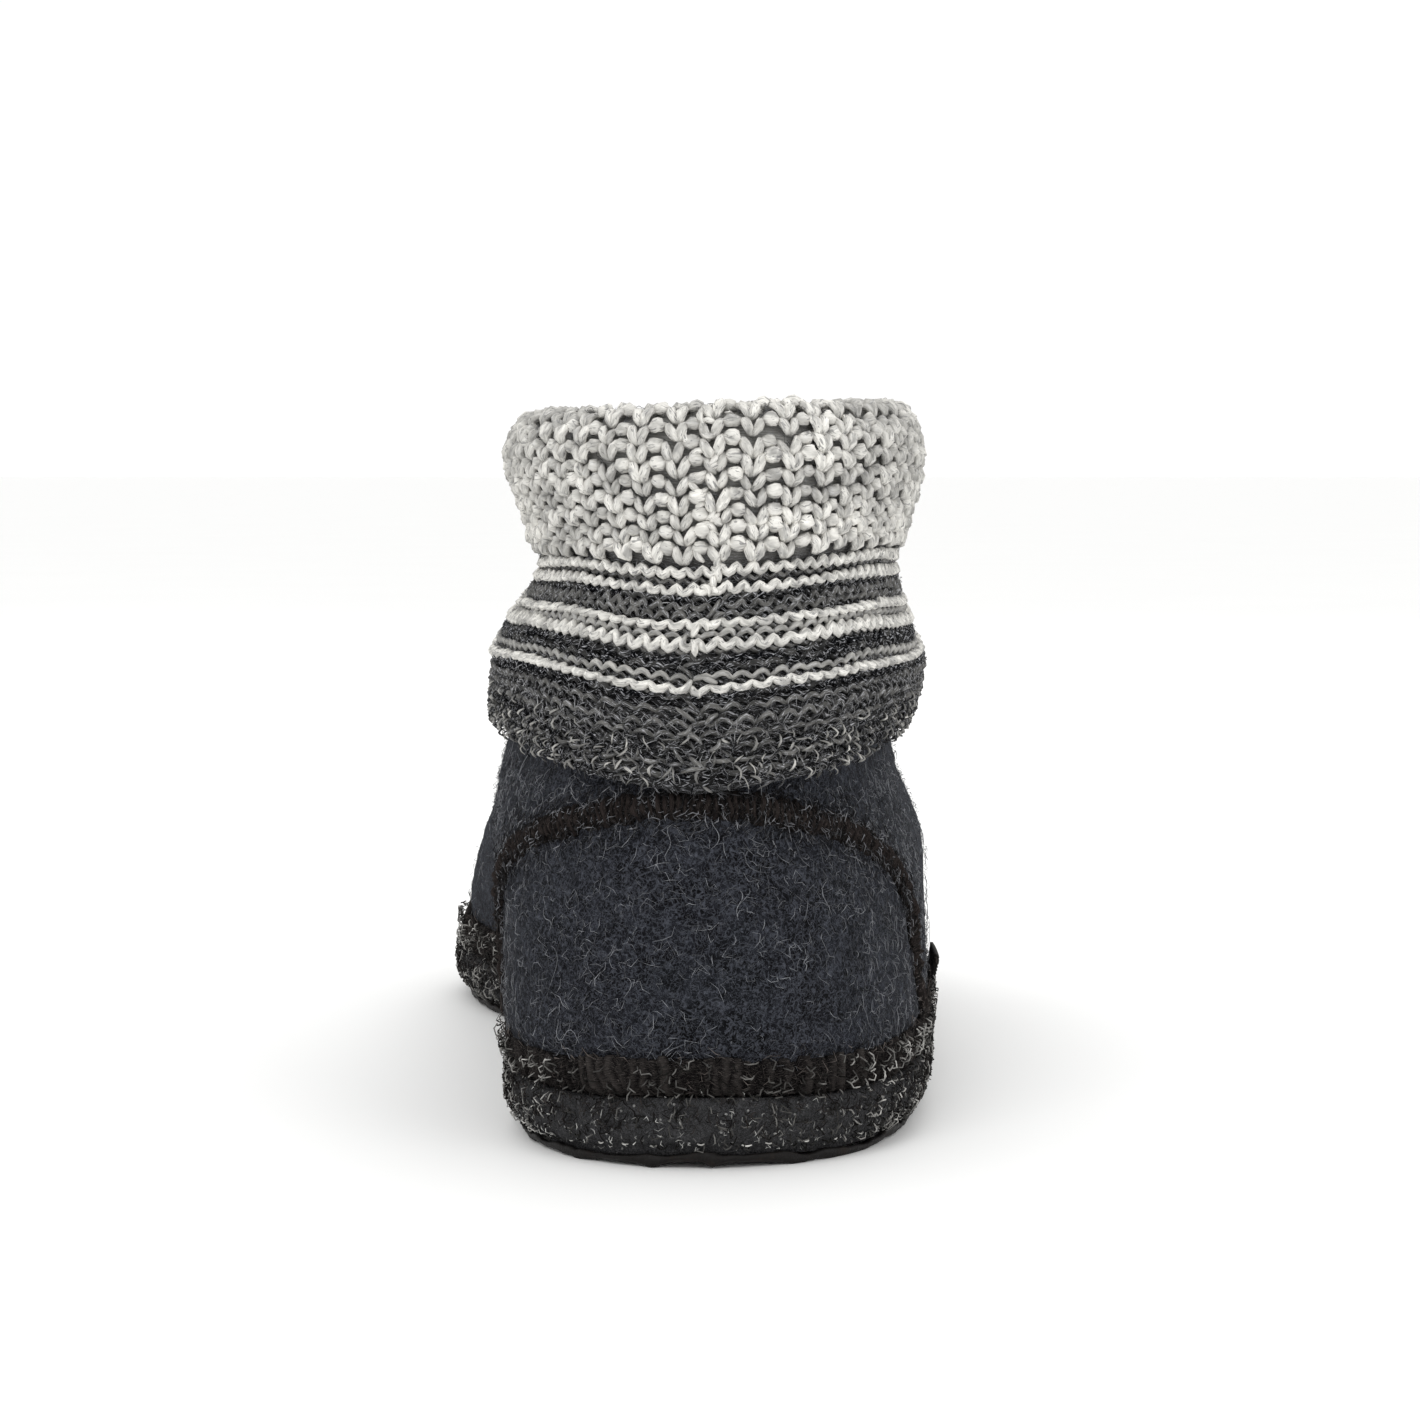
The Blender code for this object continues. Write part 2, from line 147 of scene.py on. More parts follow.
@dataclass
class Surface:
    """Points and faces of a piece, with a UV map in millimetres and a tone per point."""

    points: Array
    faces: list[Numbers]
    uvs: list[Array]
    tone: Array

    def __add__(self, other: "Surface") -> "Surface":
        """Both surfaces in one."""
        start = len(self.points)
        return Surface(
            np.concatenate([self.points, other.points]),
            self.faces + [face + start for face in other.faces],
            self.uvs + other.uvs,
            np.concatenate([self.tone, other.tone]),
        )

    def facing_out(self) -> "Surface":
        """The closed surface, turned round if the volume that its faces enclose is negative."""
        volume = 0.0
        for face in self.faces:
            first = self.points[face[:, 0]]
            for k in range(1, face.shape[1] - 1):
                cross = np.cross(self.points[face[:, k]], self.points[face[:, k + 1]])
                volume += float((first * cross).sum())
        if volume >= 0:
            return self
        faces = [face[:, ::-1] for face in self.faces]
        return Surface(self.points, faces, [uv[:, ::-1] for uv in self.uvs], self.tone)

    def to_object(self, name: str) -> bpy.types.Object:
        """A mesh object of the surface, linked into the scene."""
        mesh = bpy.data.meshes.new(name)
        mesh.vertices.add(len(self.points))
        mesh.vertices.foreach_set("co", self.points.astype(np.float32).ravel())
        corners = np.concatenate([face.ravel() for face in self.faces])
        sizes = np.concatenate([np.full(len(face), face.shape[1]) for face in self.faces])
        mesh.loops.add(len(corners))
        mesh.loops.foreach_set("vertex_index", corners.astype(np.int32))
        mesh.polygons.add(len(sizes))
        mesh.polygons.foreach_set("loop_start", (np.cumsum(sizes) - sizes).astype(np.int32))
        uv = np.concatenate([uv.reshape(-1, 2) for uv in self.uvs]).astype(np.float32)
        mesh.uv_layers.new(name="UVMap").data.foreach_set("uv", uv.ravel())
        tone = mesh.attributes.new("tone", "FLOAT", "POINT")
        tone.data.foreach_set("value", self.tone.astype(np.float32))
        mesh.update(calc_edges=True)
        mesh.shade_smooth()
        made = bpy.data.objects.new(name, mesh)
        bpy.context.scene.collection.objects.link(made)
        return made


def tubes(
    paths: Array,
    radius: Array | float,
    up: Array,
    sides: int,
    closed: bool = False,
    tone: Array | float = 0.5,
    squash: float = 1.0,
) -> Surface:
    """Round tubes along many paths at once.

    Each ring is centre + radius * (cos a * side + squash * sin a * top), where side is the
    path's direction x up and top is side x direction.

    Args:
        paths: points of the paths, (tubes, steps, 3).
        radius: one number, or one for each point of the paths.
        up: direction away from the cloth at each point.
        sides: points round each ring.
        closed: whether each path ends where it starts.
        tone: one number, one a tube, or one for each point of the paths.
        squash: height of a ring against its width.

    Returns:
        The tubes' surface, with open ends capped.
    """
    count, steps = paths.shape[:2]
    if closed:
        run = unit(np.roll(paths, -1, 1) - np.roll(paths, 1, 1))
    else:
        run = unit(np.gradient(paths, axis=1))
    side = unit(np.cross(run, up))
    top = np.cross(side, run) * squash
    angle = np.arange(sides)[:, None] * 2 * math.pi / sides
    size = np.broadcast_to(radius, (count, steps))[..., None, None]
    rings = paths[:, :, None] + size * (
        np.cos(angle) * side[:, :, None] + np.sin(angle) * top[:, :, None]
    )
    number = np.arange(count * steps * sides).reshape(count, steps, sides)
    here = number if closed else number[:, :-1]
    there = np.roll(number, -1, 1) if closed else number[:, 1:]
    quads = np.stack([here, there, np.roll(there, -1, 2), np.roll(here, -1, 2)], -1)
    gaps = np.diff(paths, axis=1, append=paths[:, :1]) if closed else np.diff(paths, axis=1)
    steps_mm = np.linalg.norm(gaps, axis=2) / MM
    reach = np.cumsum(steps_mm, 1) + (np.arange(count) * PATTERN_STEP)[:, None]
    back = reach - steps_mm
    along = np.stack([back, reach, reach, back], -1)[:, :, None].repeat(sides, 2)
    k = np.arange(sides) / sides
    across = np.broadcast_to(np.stack([k, k, k + 1 / sides, k + 1 / sides], -1), along.shape)
    faces = [quads.reshape(-1, 4)]
    uvs = [np.stack([along, across], -1).reshape(-1, 4, 2)]
    if not closed:
        faces += [number[:, 0], number[:, -1, ::-1]]
        uvs += [np.zeros((count, sides, 2)), np.zeros((count, sides, 2))]
    tone = np.asarray(tone, float)
    tone = tone[:, None] if tone.ndim == 1 else tone
    tone = np.broadcast_to(np.broadcast_to(tone, (count, steps))[..., None], number.shape)
    return Surface(rings.reshape(-1, 3), faces, uvs, tone.ravel())


def grid(points: Array, wrap: tuple[bool, bool], tone: Array | float = 0.5) -> Surface:
    """Quads over a grid of points, closed along its rows, its columns, both or neither.

    Args:
        points: the grid, (rows, columns, 3).
        wrap: whether the last row joins the first, and the last column the first.
        tone: one number, or one for each point.

    Returns:
        The grid's surface, with a UV map of the mean distances in millimetres.
    """
    rows, columns = points.shape[:2]
    number = np.arange(rows * columns).reshape(rows, columns)
    top = rows if wrap[0] else rows - 1
    right = columns if wrap[1] else columns - 1
    r, c = np.meshgrid(np.arange(top), np.arange(right), indexing="ij")
    corners = [(r, c), (r, c + 1), (r + 1, c + 1), (r + 1, c)]
    faces = np.stack([number[a % rows, b % columns] for a, b in corners], -1)
    step_u = np.linalg.norm(np.diff(points, axis=1), axis=2).mean() / MM
    step_v = np.linalg.norm(np.diff(points, axis=0), axis=2).mean() / MM
    uv = np.stack([np.stack([b * step_u, a * step_v], -1) for a, b in corners], -2)
    tones = np.broadcast_to(tone, (rows, columns)).ravel()
    return Surface(points.reshape(-1, 3), [faces.reshape(-1, 4)], [uv.reshape(-1, 4, 2)], tones)


def slab(rings: Array, tone: Array | float = 0.5) -> Surface:
    """Stacked rings, closed at both ends by strips between a ring's two sides.

    Args:
        rings: the rings, (rings, points round, 3), each starting at its back point.
        tone: one number, or one for each point.

    Returns:
        The closed surface, its faces pointing outwards.
    """
    made = grid(rings, (False, True), tone)
    count = rings.shape[1]
    i = np.arange(1, count // 2 - 1)
    strips = np.stack([i, i + 1, count - i - 1, count - i], -1)
    tips = np.array([(0, 1, count - 1), (count // 2, count // 2 + 1, count // 2 - 1)])
    last = (len(rings) - 1) * count
    faces = [strips[:, ::-1], tips[:, ::-1], strips + last, tips + last]
    made.faces += faces
    made.uvs += [made.points[face][..., :2] / MM for face in faces]
    return made.facing_out()


def bar(sections: Array, tone: Array | float = 0.5) -> Surface:
    """Closed cross-sections joined along a path, with both ends filled."""
    made = grid(sections, (False, True), tone)
    rows, count = sections.shape[:2]
    ends = np.array([np.arange(count)[::-1], (rows - 1) * count + np.arange(count)])
    made.faces.append(ends)
    made.uvs.append(made.points[ends][..., :2] / MM)
    return made.facing_out()


class ClothMap:
    """Lookup of a curved cloth by turn round it and climb up it.

    The rows are joined by straight lines, and each column is read again at even shares of
    its length up to the unit row, so equal climbs are equal shares of the cloth's height.
    """

    def __init__(
        self, rows: Array, angles: Array, unit_row: int, climbs: tuple[float, float, int]
    ) -> None:
        """Reads the rows again at even climbs.

        Args:
            rows: dense rows of points closed round their second direction.
            angles: the section's angle of each column.
            unit_row: the row where the climb is 1.
            climbs: lowest climb, highest climb and how many.
        """
        self.angles = np.append(angles, math.tau)
        self.columns = np.arange(len(self.angles)) / len(angles)
        steps = np.linalg.norm(np.diff(rows, axis=0), axis=2)
        length = np.concatenate([np.zeros((1, rows.shape[1])), np.cumsum(steps, 0)])
        climb = length / length[unit_row]
        wanted = np.linspace(*climbs)
        under = (climb[None] <= wanted[:, None, None]).sum(1) - 1
        under = np.clip(under, 0, len(rows) - 2)
        column = np.arange(rows.shape[1])[None]
        low, high = climb[under, column], climb[under + 1, column]
        f = ((wanted[:, None] - low) / (high - low))[..., None]
        self.points = rows[under, column] * (1 - f) + rows[under + 1, column] * f
        around = np.roll(self.points, -1, 1) - np.roll(self.points, 1, 1)
        self.normals = unit(np.cross(around, np.gradient(self.points, axis=0)))
        self.start, self.step = wanted[0], wanted[1] - wanted[0]
        self.height = float(length[unit_row].mean())
        self.girth = float(np.linalg.norm(around, axis=2).sum(1).mean() / 2)

    def place(self, turn: Array, climb: Array | float, lift: Array | float) -> tuple[Array, Array]:
        """Points lifted off the cloth, read between the four nearest points of the map.

        Args:
            turn: share of a turn round the cloth, from the back over the outer side.
            climb: share of the cloth's height.
            lift: distance off the cloth along its normal.

        Returns:
            The points and the cloth's unit normals there.
        """
        turn, climb, lift = np.broadcast_arrays(turn, climb, lift)
        rows, columns = self.points.shape[:2]
        x = (turn % 1) * columns
        y = (climb - self.start) / self.step
        i = np.floor(x).astype(int) % columns
        j = np.clip(np.floor(y).astype(int), 0, rows - 2)
        fx, fy = (x - np.floor(x))[..., None], (y - j)[..., None]
        i1 = (i + 1) % columns
        found = [
            (t[j, i] * (1 - fx) + t[j, i1] * fx) * (1 - fy)
            + (t[j + 1, i] * (1 - fx) + t[j + 1, i1] * fx) * fy
            for t in (self.points, self.normals)
        ]
        normal = unit(found[1])
        return found[0] + lift[..., None] * normal, normal

    def turn_at(self, angle: Array) -> Array:
        """Turn of the map at a section's angle."""
        return np.interp(angle % math.tau, self.angles, self.columns)

    def angle_at(self, turn: Array) -> Array:
        """Section's angle at a turn of the map."""
        return np.interp(turn % 1, self.columns, self.angles)

    def climb_near(self, turn: Array, height: Array) -> Array:
        """Climb at which the map reaches a height over the floor, from a table of 120 climbs."""
        climbs = np.linspace(0, 1, 120)
        points, _ = self.place(turn[:, None], climbs, 0.0)
        return climbs[np.abs(points[..., 2] - height[:, None]).argmin(1)]

    def scales(self, turn: Array, climb: Array | float) -> tuple[Array, Array]:
        """Metres a whole turn and a whole climb measure at each place, from small steps."""
        round_step, up_step = 0.002, 0.01
        here, _ = self.place(turn, climb, 0.0)
        beside, _ = self.place(turn + round_step, climb, 0.0)
        above, _ = self.place(turn, climb + up_step, 0.0)
        across = np.linalg.norm(beside - here, axis=-1) / round_step
        return across, np.linalg.norm(above - here, axis=-1) / up_step


@dataclass(frozen=True)
class Hairs:
    """Wool hairs that lie on a cloth and curl.

    Length, radius and rise, which is a height and what the bow adds to it, are in millimetres;
    curl is the turning in radians a metre, lie the spread of the headings in radians, wave and
    pace are the ends of a slow wave's size and turning, and taper is what the tips lose.
    """

    count: int
    length: tuple[float, float]
    radius: tuple[float, float]
    seed: int
    curl: float = 620.0
    rise: tuple[float, float] = (0.1, 1.0)
    lie: float = math.pi
    steps: int = 3
    wave: tuple[float, float] = (0.3, 1.3)
    pace: tuple[float, float] = (3.0, 9.0)
    taper: float = 0.55

    def grow(self, cloth: ClothMap, turn: Array, climb: Array, tone: Array) -> Surface:
        """Hairs from the given roots.

        A hair's heading along the cloth is its start heading + curl * s + a slow wave, which
        is summed into steps round and up the cloth; its height is rise * sin(pi s) ** 0.7.

        Args:
            cloth: map of the cloth.
            turn: turn of each root.
            climb: climb of each root.
            tone: lightness of each hair.

        Returns:
            Three-sided tubes.
        """
        rng = np.random.default_rng(self.seed)
        s = np.linspace(0, 1, self.steps)
        shape = (self.count, 1)
        length = rng.uniform(*self.length, shape) * MM
        heading = rng.normal(0, 1, shape) * self.lie
        bend = rng.normal(0, self.curl, shape) * length
        size, pace = rng.uniform(*self.wave, shape), rng.uniform(*self.pace, shape)
        start = rng.uniform(0, 6.28, shape)
        angle = heading + bend * (s - 0.5) + size * np.sin(s * pace + start)
        step = length / (self.steps - 1)
        girth, height = cloth.scales(turn[:, None], climb[:, None])
        across = np.cumsum(np.sin(angle) * step, 1) / girth
        upward = np.cumsum(np.cos(angle) * step, 1) / height
        base, top = self.rise
        bow = rng.uniform(0, 1, shape) ** 2 * top * np.sin(math.pi * s) ** 0.7
        points, up = cloth.place(turn[:, None] + across, climb[:, None] + upward, (base + bow) * MM)
        thick = rng.uniform(*self.radius, shape) * MM * (1 - self.taper * np.abs(2 * s - 1) ** 2)
        return tubes(points, thick, up, 3, tone=tone)


def linear(code: str) -> tuple[float, float, float, float]:
    """Linear RGBA of an sRGB hex colour: c / 12.92 below 0.04045, else ((c + .055) / 1.055) ** 2.4."""
    shares = [int(code[i : i + 2], 16) / 255 for i in (1, 3, 5)]
    red, green, blue = (c / 12.92 if c <= 0.04045 else ((c + 0.055) / 1.055) ** 2.4 for c in shares)
    return red, green, blue, 1.0


def plug(tree: bpy.types.NodeTree, node: bpy.types.Node, inputs: Inputs) -> None:
    """Sets or links a node's inputs: a value or an output socket for each, by name or in order."""
    for name, value in inputs.items() if isinstance(inputs, dict) else enumerate(inputs):
        if isinstance(value, bpy.types.NodeSocket):
            tree.links.new(value, node.inputs[name])
        else:
            node.inputs[name].default_value = value


def add_node(
    tree: bpy.types.NodeTree,
    kind: str,
    inputs: Inputs = (),
    output: str | int = 0,
    **settings: object,
) -> bpy.types.NodeSocket:
    """Adds one node.

    Args:
        tree: node tree of the material.
        kind: Blender's name for the node, without ShaderNode.
        inputs: value or output socket for each input, by name or number, or in order.
        output: name or number of the output that is wanted.
        settings: properties of the node.

    Returns:
        The output.
    """
    node = tree.nodes.new("ShaderNode" + kind)
    for name, value in settings.items():
        setattr(node, name, value)
    plug(tree, node, inputs)
    return node.outputs[output]


# For a Mix node of colours: input 0 is the share of input 7 over input 6
BLEND = {"output": 2, "data_type": "RGBA"}


@dataclass(frozen=True)
class Finish:
    """A finish: its name and the shader's typical values for it."""

    name: str
    roughness: float = 0.9
    ior: float = 1.5
    specular: float = 0.12
    sheen: float = 0.0
    sheen_tint: str = "#FFFFFF"

    def material(self) -> bpy.types.Material:
        """The material, made once for each name."""
        made = bpy.data.materials.get(self.name)
        if made is not None:
            return made
        made = bpy.data.materials.new(self.name)
        made.use_nodes = True
        tree = made.node_tree
        inputs = {
            "Roughness": self.roughness,
            "IOR": self.ior,
            "Specular IOR Level": self.specular,
            "Sheen Weight": self.sheen,
            "Sheen Tint": linear(self.sheen_tint),
        }
        inputs.update(self.dress(partial(add_node, tree)))
        plug(tree, tree.nodes["Principled BSDF"], inputs)
        return made

    def dress(self, add: Adder) -> Sockets:
        """Adds the pattern's nodes and gives the outputs that feed the shader's inputs."""
        raise NotImplementedError


@dataclass(frozen=True)
class WoolYarn(Finish):
    """Spun and plied wool yarn, matt, with fine hairs along it and dark fibres spun in.

    Reads the tube's UV map, millimetres along and one turn round, and the tone attribute,
    from 0 for the dark yarn to 1 for the light one.
    """

    dark: str = "#0D0E11"
    light: str = "#EEECE6"
    pale_fibre: str = "#C2C3C8"
    dark_fibre: str = "#4E4F55"
    melange: float = 0.70
    marl: float = 0.62
    twist: float = 4.6
    specular: float = 0.03
    # Offset, scale along and round the yarn, then scale, detail and distortion of the noises
    # that stand for streaks of the spinning, single fibres and clouds of them
    noises: ClassVar[tuple] = (
        ((0, 0, 0), (0.55, 9.0, 1), 1.6, 3.0, 0.8),
        ((7, 3, 0), (0.50, 8.0, 1), 1.3, 2.0, 1.4),
        ((0, 0, 0), (0.28, 1.6, 1), 1.0, 2.0, 1.2),
    )

    def dress(self, add: Adder) -> Sockets:
        """Tone for the colour, pale fibres in dark yarn, dark ones in light, a ply line with painted
        shade in its groove.
        """
        uv = add("TexCoord", output="UV")
        tone = add("Attribute", output="Fac", attribute_name="tone")
        parts = add("SeparateXYZ", [uv]).node.outputs
        turns = add("Math", [parts[0], math.tau / self.twist], operation="MULTIPLY")
        phase = add("Math", [parts[1], 2 * math.tau, turns], operation="MULTIPLY_ADD")
        ply = add("Math", [phase], operation="SINE")
        made = []
        for start, stretch, scale, detail, bent in self.noises:
            at = add("Mapping", {"Vector": uv, "Location": start, "Scale": stretch})
            look = {"Vector": at, "Scale": scale, "Detail": detail, "Distortion": bent}
            made.append(add("TexNoise", look))
        streak, hair, cloud = made
        base = add("Mix", {0: tone, 6: linear(self.dark), 7: linear(self.light)}, **BLEND)
        darkness = add("Math", [1.0, tone], operation="SUBTRACT")
        for noise, low, high, most, share, code in (
            (streak, 0.56, 0.62, self.melange, darkness, self.pale_fibre),
            (hair, 0.58, 0.64, self.marl, tone, self.dark_fibre),
            (cloud, 0.50, 0.70, 0.7 * self.marl, tone, self.dark_fibre),
        ):
            spun = add("MapRange", [noise, low, high, 0.0, most], interpolation_type="SMOOTHSTEP")
            amount = add("Math", [spun, share], operation="MULTIPLY")
            base = add("Mix", {0: amount, 6: base, 7: linear(code)}, **BLEND)
        # Painted shade: the colour darkens to 0.76 in the ply's groove and is then scaled by the
        # streaks' own lightness; the same groove profile is the bump's height
        groove_shade = add("MapRange", [ply, -1.0, 0.0, 0.76, 1.0])
        light = add("MapRange", [streak, 0.3, 0.7, 0.78, 1.10])
        shade = add("Math", [groove_shade, light], operation="MULTIPLY")
        height = add("Math", [groove_shade, streak])
        return {
            "Base Color": add("VectorMath", {0: base, "Scale": shade}, operation="SCALE"),
            "Normal": add("Bump", {"Height": height, "Distance": 0.35 * MM, "Strength": 0.8}),
        }


@dataclass(frozen=True)
class Felt(Finish):
    """Milled wool felt: matted fibres that run in curls, a soft bloom, no thread to be seen.

    Reads Object coordinates. Curled fibres are the places where a noise crosses its middle
    value; each fibre is about 0.15 mm thick, drawn at 0.25 mm so that it shows. Patch, curl,
    fleck gap and nap are sizes in millimetres.
    """

    base: str = "#22252D"
    deep: str = "#121318"
    fibre: str = "#6F7784"
    fibre_share: float = 0.5
    fleck: str = "#D0D0D0"
    fleck_share: float = 0.0
    patch: float = 9.0
    curl: float = 2.6
    fleck_gap: float = 1.9
    nap: float = 0.7
    sheen: float = 0.3

    def dress(self, add: Adder) -> Sockets:
        """Dark patches with painted shade of lumps and pits over them, three layers of curled fibres,
        pale flecks and a matted bump.
        """
        metres = add("TexCoord", output="Object")
        spot = add("VectorMath", {0: metres, "Scale": 1000.0}, operation="SCALE")
        patch, mottle, fine = (
            add("TexNoise", {"Vector": spot, "Scale": scale, "Detail": detail, "Roughness": rough})
            for scale, detail, rough in (
                (1 / self.patch, 5.0, 0.65), (4.5 / self.patch, 3.0, 0.6), (1 / self.nap, 3.0, 0.7)
            )
        )
        # Painted shade: small clumps darken the colour towards deep, standing for the shade of the
        # felt's lumps and pits; the broad patches are its own tone
        lump_and_pit_shade = add("MapRange", [mottle, 0.38, 0.62, 0.20, 1.15])
        broad = add("MapRange", [patch, 0.35, 0.65])
        shade = add("Math", [broad, lump_and_pit_shade], operation="MULTIPLY", use_clamp=True)
        colour = add("Mix", {0: shade, 6: linear(self.deep), 7: linear(self.base)}, **BLEND)
        height = patch
        for layer, (part, width) in enumerate(((1.0, 0.035), (0.6, 0.05), (0.36, 0.08))):
            moved = add("VectorMath", [spot, (31.7 * layer + 5.1, 17.3 * layer, 9.9 * layer)])
            look = {"Scale": 1 / (self.curl * part), "Detail": 1.0, "Distortion": 0.9}
            noise = add("TexNoise", {"Vector": moved, **look})
            middle = add("Math", [noise, 0.5], operation="SUBTRACT")
            apart = add("Math", [middle], operation="ABSOLUTE")
            line = add(
                "MapRange", [apart, 0.0, width, self.fibre_share, 0.0], interpolation_type="SMOOTHSTEP"
            )
            colour = add("Mix", {0: line, 6: colour, 7: linear(self.fibre)}, **BLEND)
            height = add("Math", [height, line])
        if self.fleck_share > 0:
            cells = add("TexVoronoi", {"Vector": spot, "Scale": 1 / self.fleck_gap}, "Distance")
            near = add("MapRange", [cells, 0.10, 0.16, self.fleck_share, 0.0])
            colour = add("Mix", {0: near, 6: colour, 7: linear(self.fleck)}, **BLEND)
        relief = add("Math", [height, fine])
        bump = add("Bump", {"Height": relief, "Distance": 0.6 * MM, "Strength": 0.9})
        return {"Base Color": colour, "Normal": bump}


@dataclass(frozen=True)
class Thread(Finish):
    """Single wool or polyester fibres, too thin to show more than their colour.

    Reads the tone attribute, from 0 for the dark fibre to 1 for the light one, and breaks
    it up along the fibre.
    """

    dark: str = "#3A3F4A"
    light: str = "#B4BAC4"

    def dress(self, add: Adder) -> Sockets:
        """Tone for the colour, with a short break-up along the fibre."""
        tone = add("Attribute", output="Fac", attribute_name="tone")
        uv = add("TexCoord", output="UV")
        noise = add("TexNoise", {"Vector": uv, "Scale": 0.9, "Detail": 2.0})
        broken = add("MapRange", [noise, 0.3, 0.7, 0.55, 1.25])
        share = add("Math", [tone, broken], operation="MULTIPLY", use_clamp=True)
        colours = {0: share, 6: linear(self.dark), 7: linear(self.light)}
        return {"Base Color": add("Mix", colours, **BLEND)}


@dataclass(frozen=True)
class Rubber(Finish):
    """Moulded crepe rubber: dark brown-black, a dull gloss, scuffed, with a fine grain."""

    base: str = "#0E0B0A"
    worn: str = "#241D19"
    roughness: float = 0.6
    ior: float = 1.52
    specular: float = 0.2

    def dress(self, add: Adder) -> Sockets:
        """Scuffs at about 6 mm, a grain of 0.4 mm and pits of about 2 mm."""
        spot = add("TexCoord", output="Object")
        scuff = add("TexNoise", {"Vector": spot, "Scale": 160.0, "Detail": 6.0, "Roughness": 0.7})
        share = add("MapRange", [scuff, 0.5, 0.72])
        grain = add("TexNoise", {"Vector": spot, "Scale": 2400.0, "Detail": 2.0})
        pits = add("TexVoronoi", {"Vector": spot, "Scale": 520.0}, "Distance")
        height = add("Math", [grain, pits])
        return {
            "Base Color": add("Mix", {0: share, 6: linear(self.base), 7: linear(self.worn)}, **BLEND),
            "Roughness": add("MapRange", [scuff, 0.3, 0.7, 0.45, 0.75]),
            "Normal": add("Bump", {"Height": height, "Distance": 0.25 * MM, "Strength": 0.7}),
        }


@dataclass(frozen=True)
class Paint(Finish):
    """Matt painted studio floor, pale, with the faintest mottling."""

    colour: str = "#FBFBFA"
    other: str = "#F8F8F7"

    def dress(self, add: Adder) -> Sockets:
        """Two close whites in patches of about 200 mm."""
        noise = add("TexNoise", {"Vector": add("TexCoord", output="Object"), "Scale": 5.0})
        colours = {0: noise, 6: linear(self.colour), 7: linear(self.other)}
        return {"Base Color": add("Mix", colours, **BLEND)}


def publish(surface: Surface, name: str, finish: Finish, slot: Slot, *nodes: str) -> None:
    """Makes a piece of the slipper: mesh, material and body; hides the CAD nodes it stands for and
    logs its slot.

    Args:
        surface: the piece's surface.
        name: name of the piece.
        finish: its finish.
        slot: slot of the record that the finish belongs to.
        nodes: CAD nodes that the piece replaces.
    """
    piece = surface.to_object(name)
    piece.data.materials.append(finish.material())
    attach(piece, "root")
    if nodes:
        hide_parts(*nodes)
    triangles = sum(len(face) * (face.shape[1] - 2) for face in surface.faces)
    LOG.info("%s: %d triangles, slot %s, replaces %s", name, triangles, slot.value, nodes or "-")


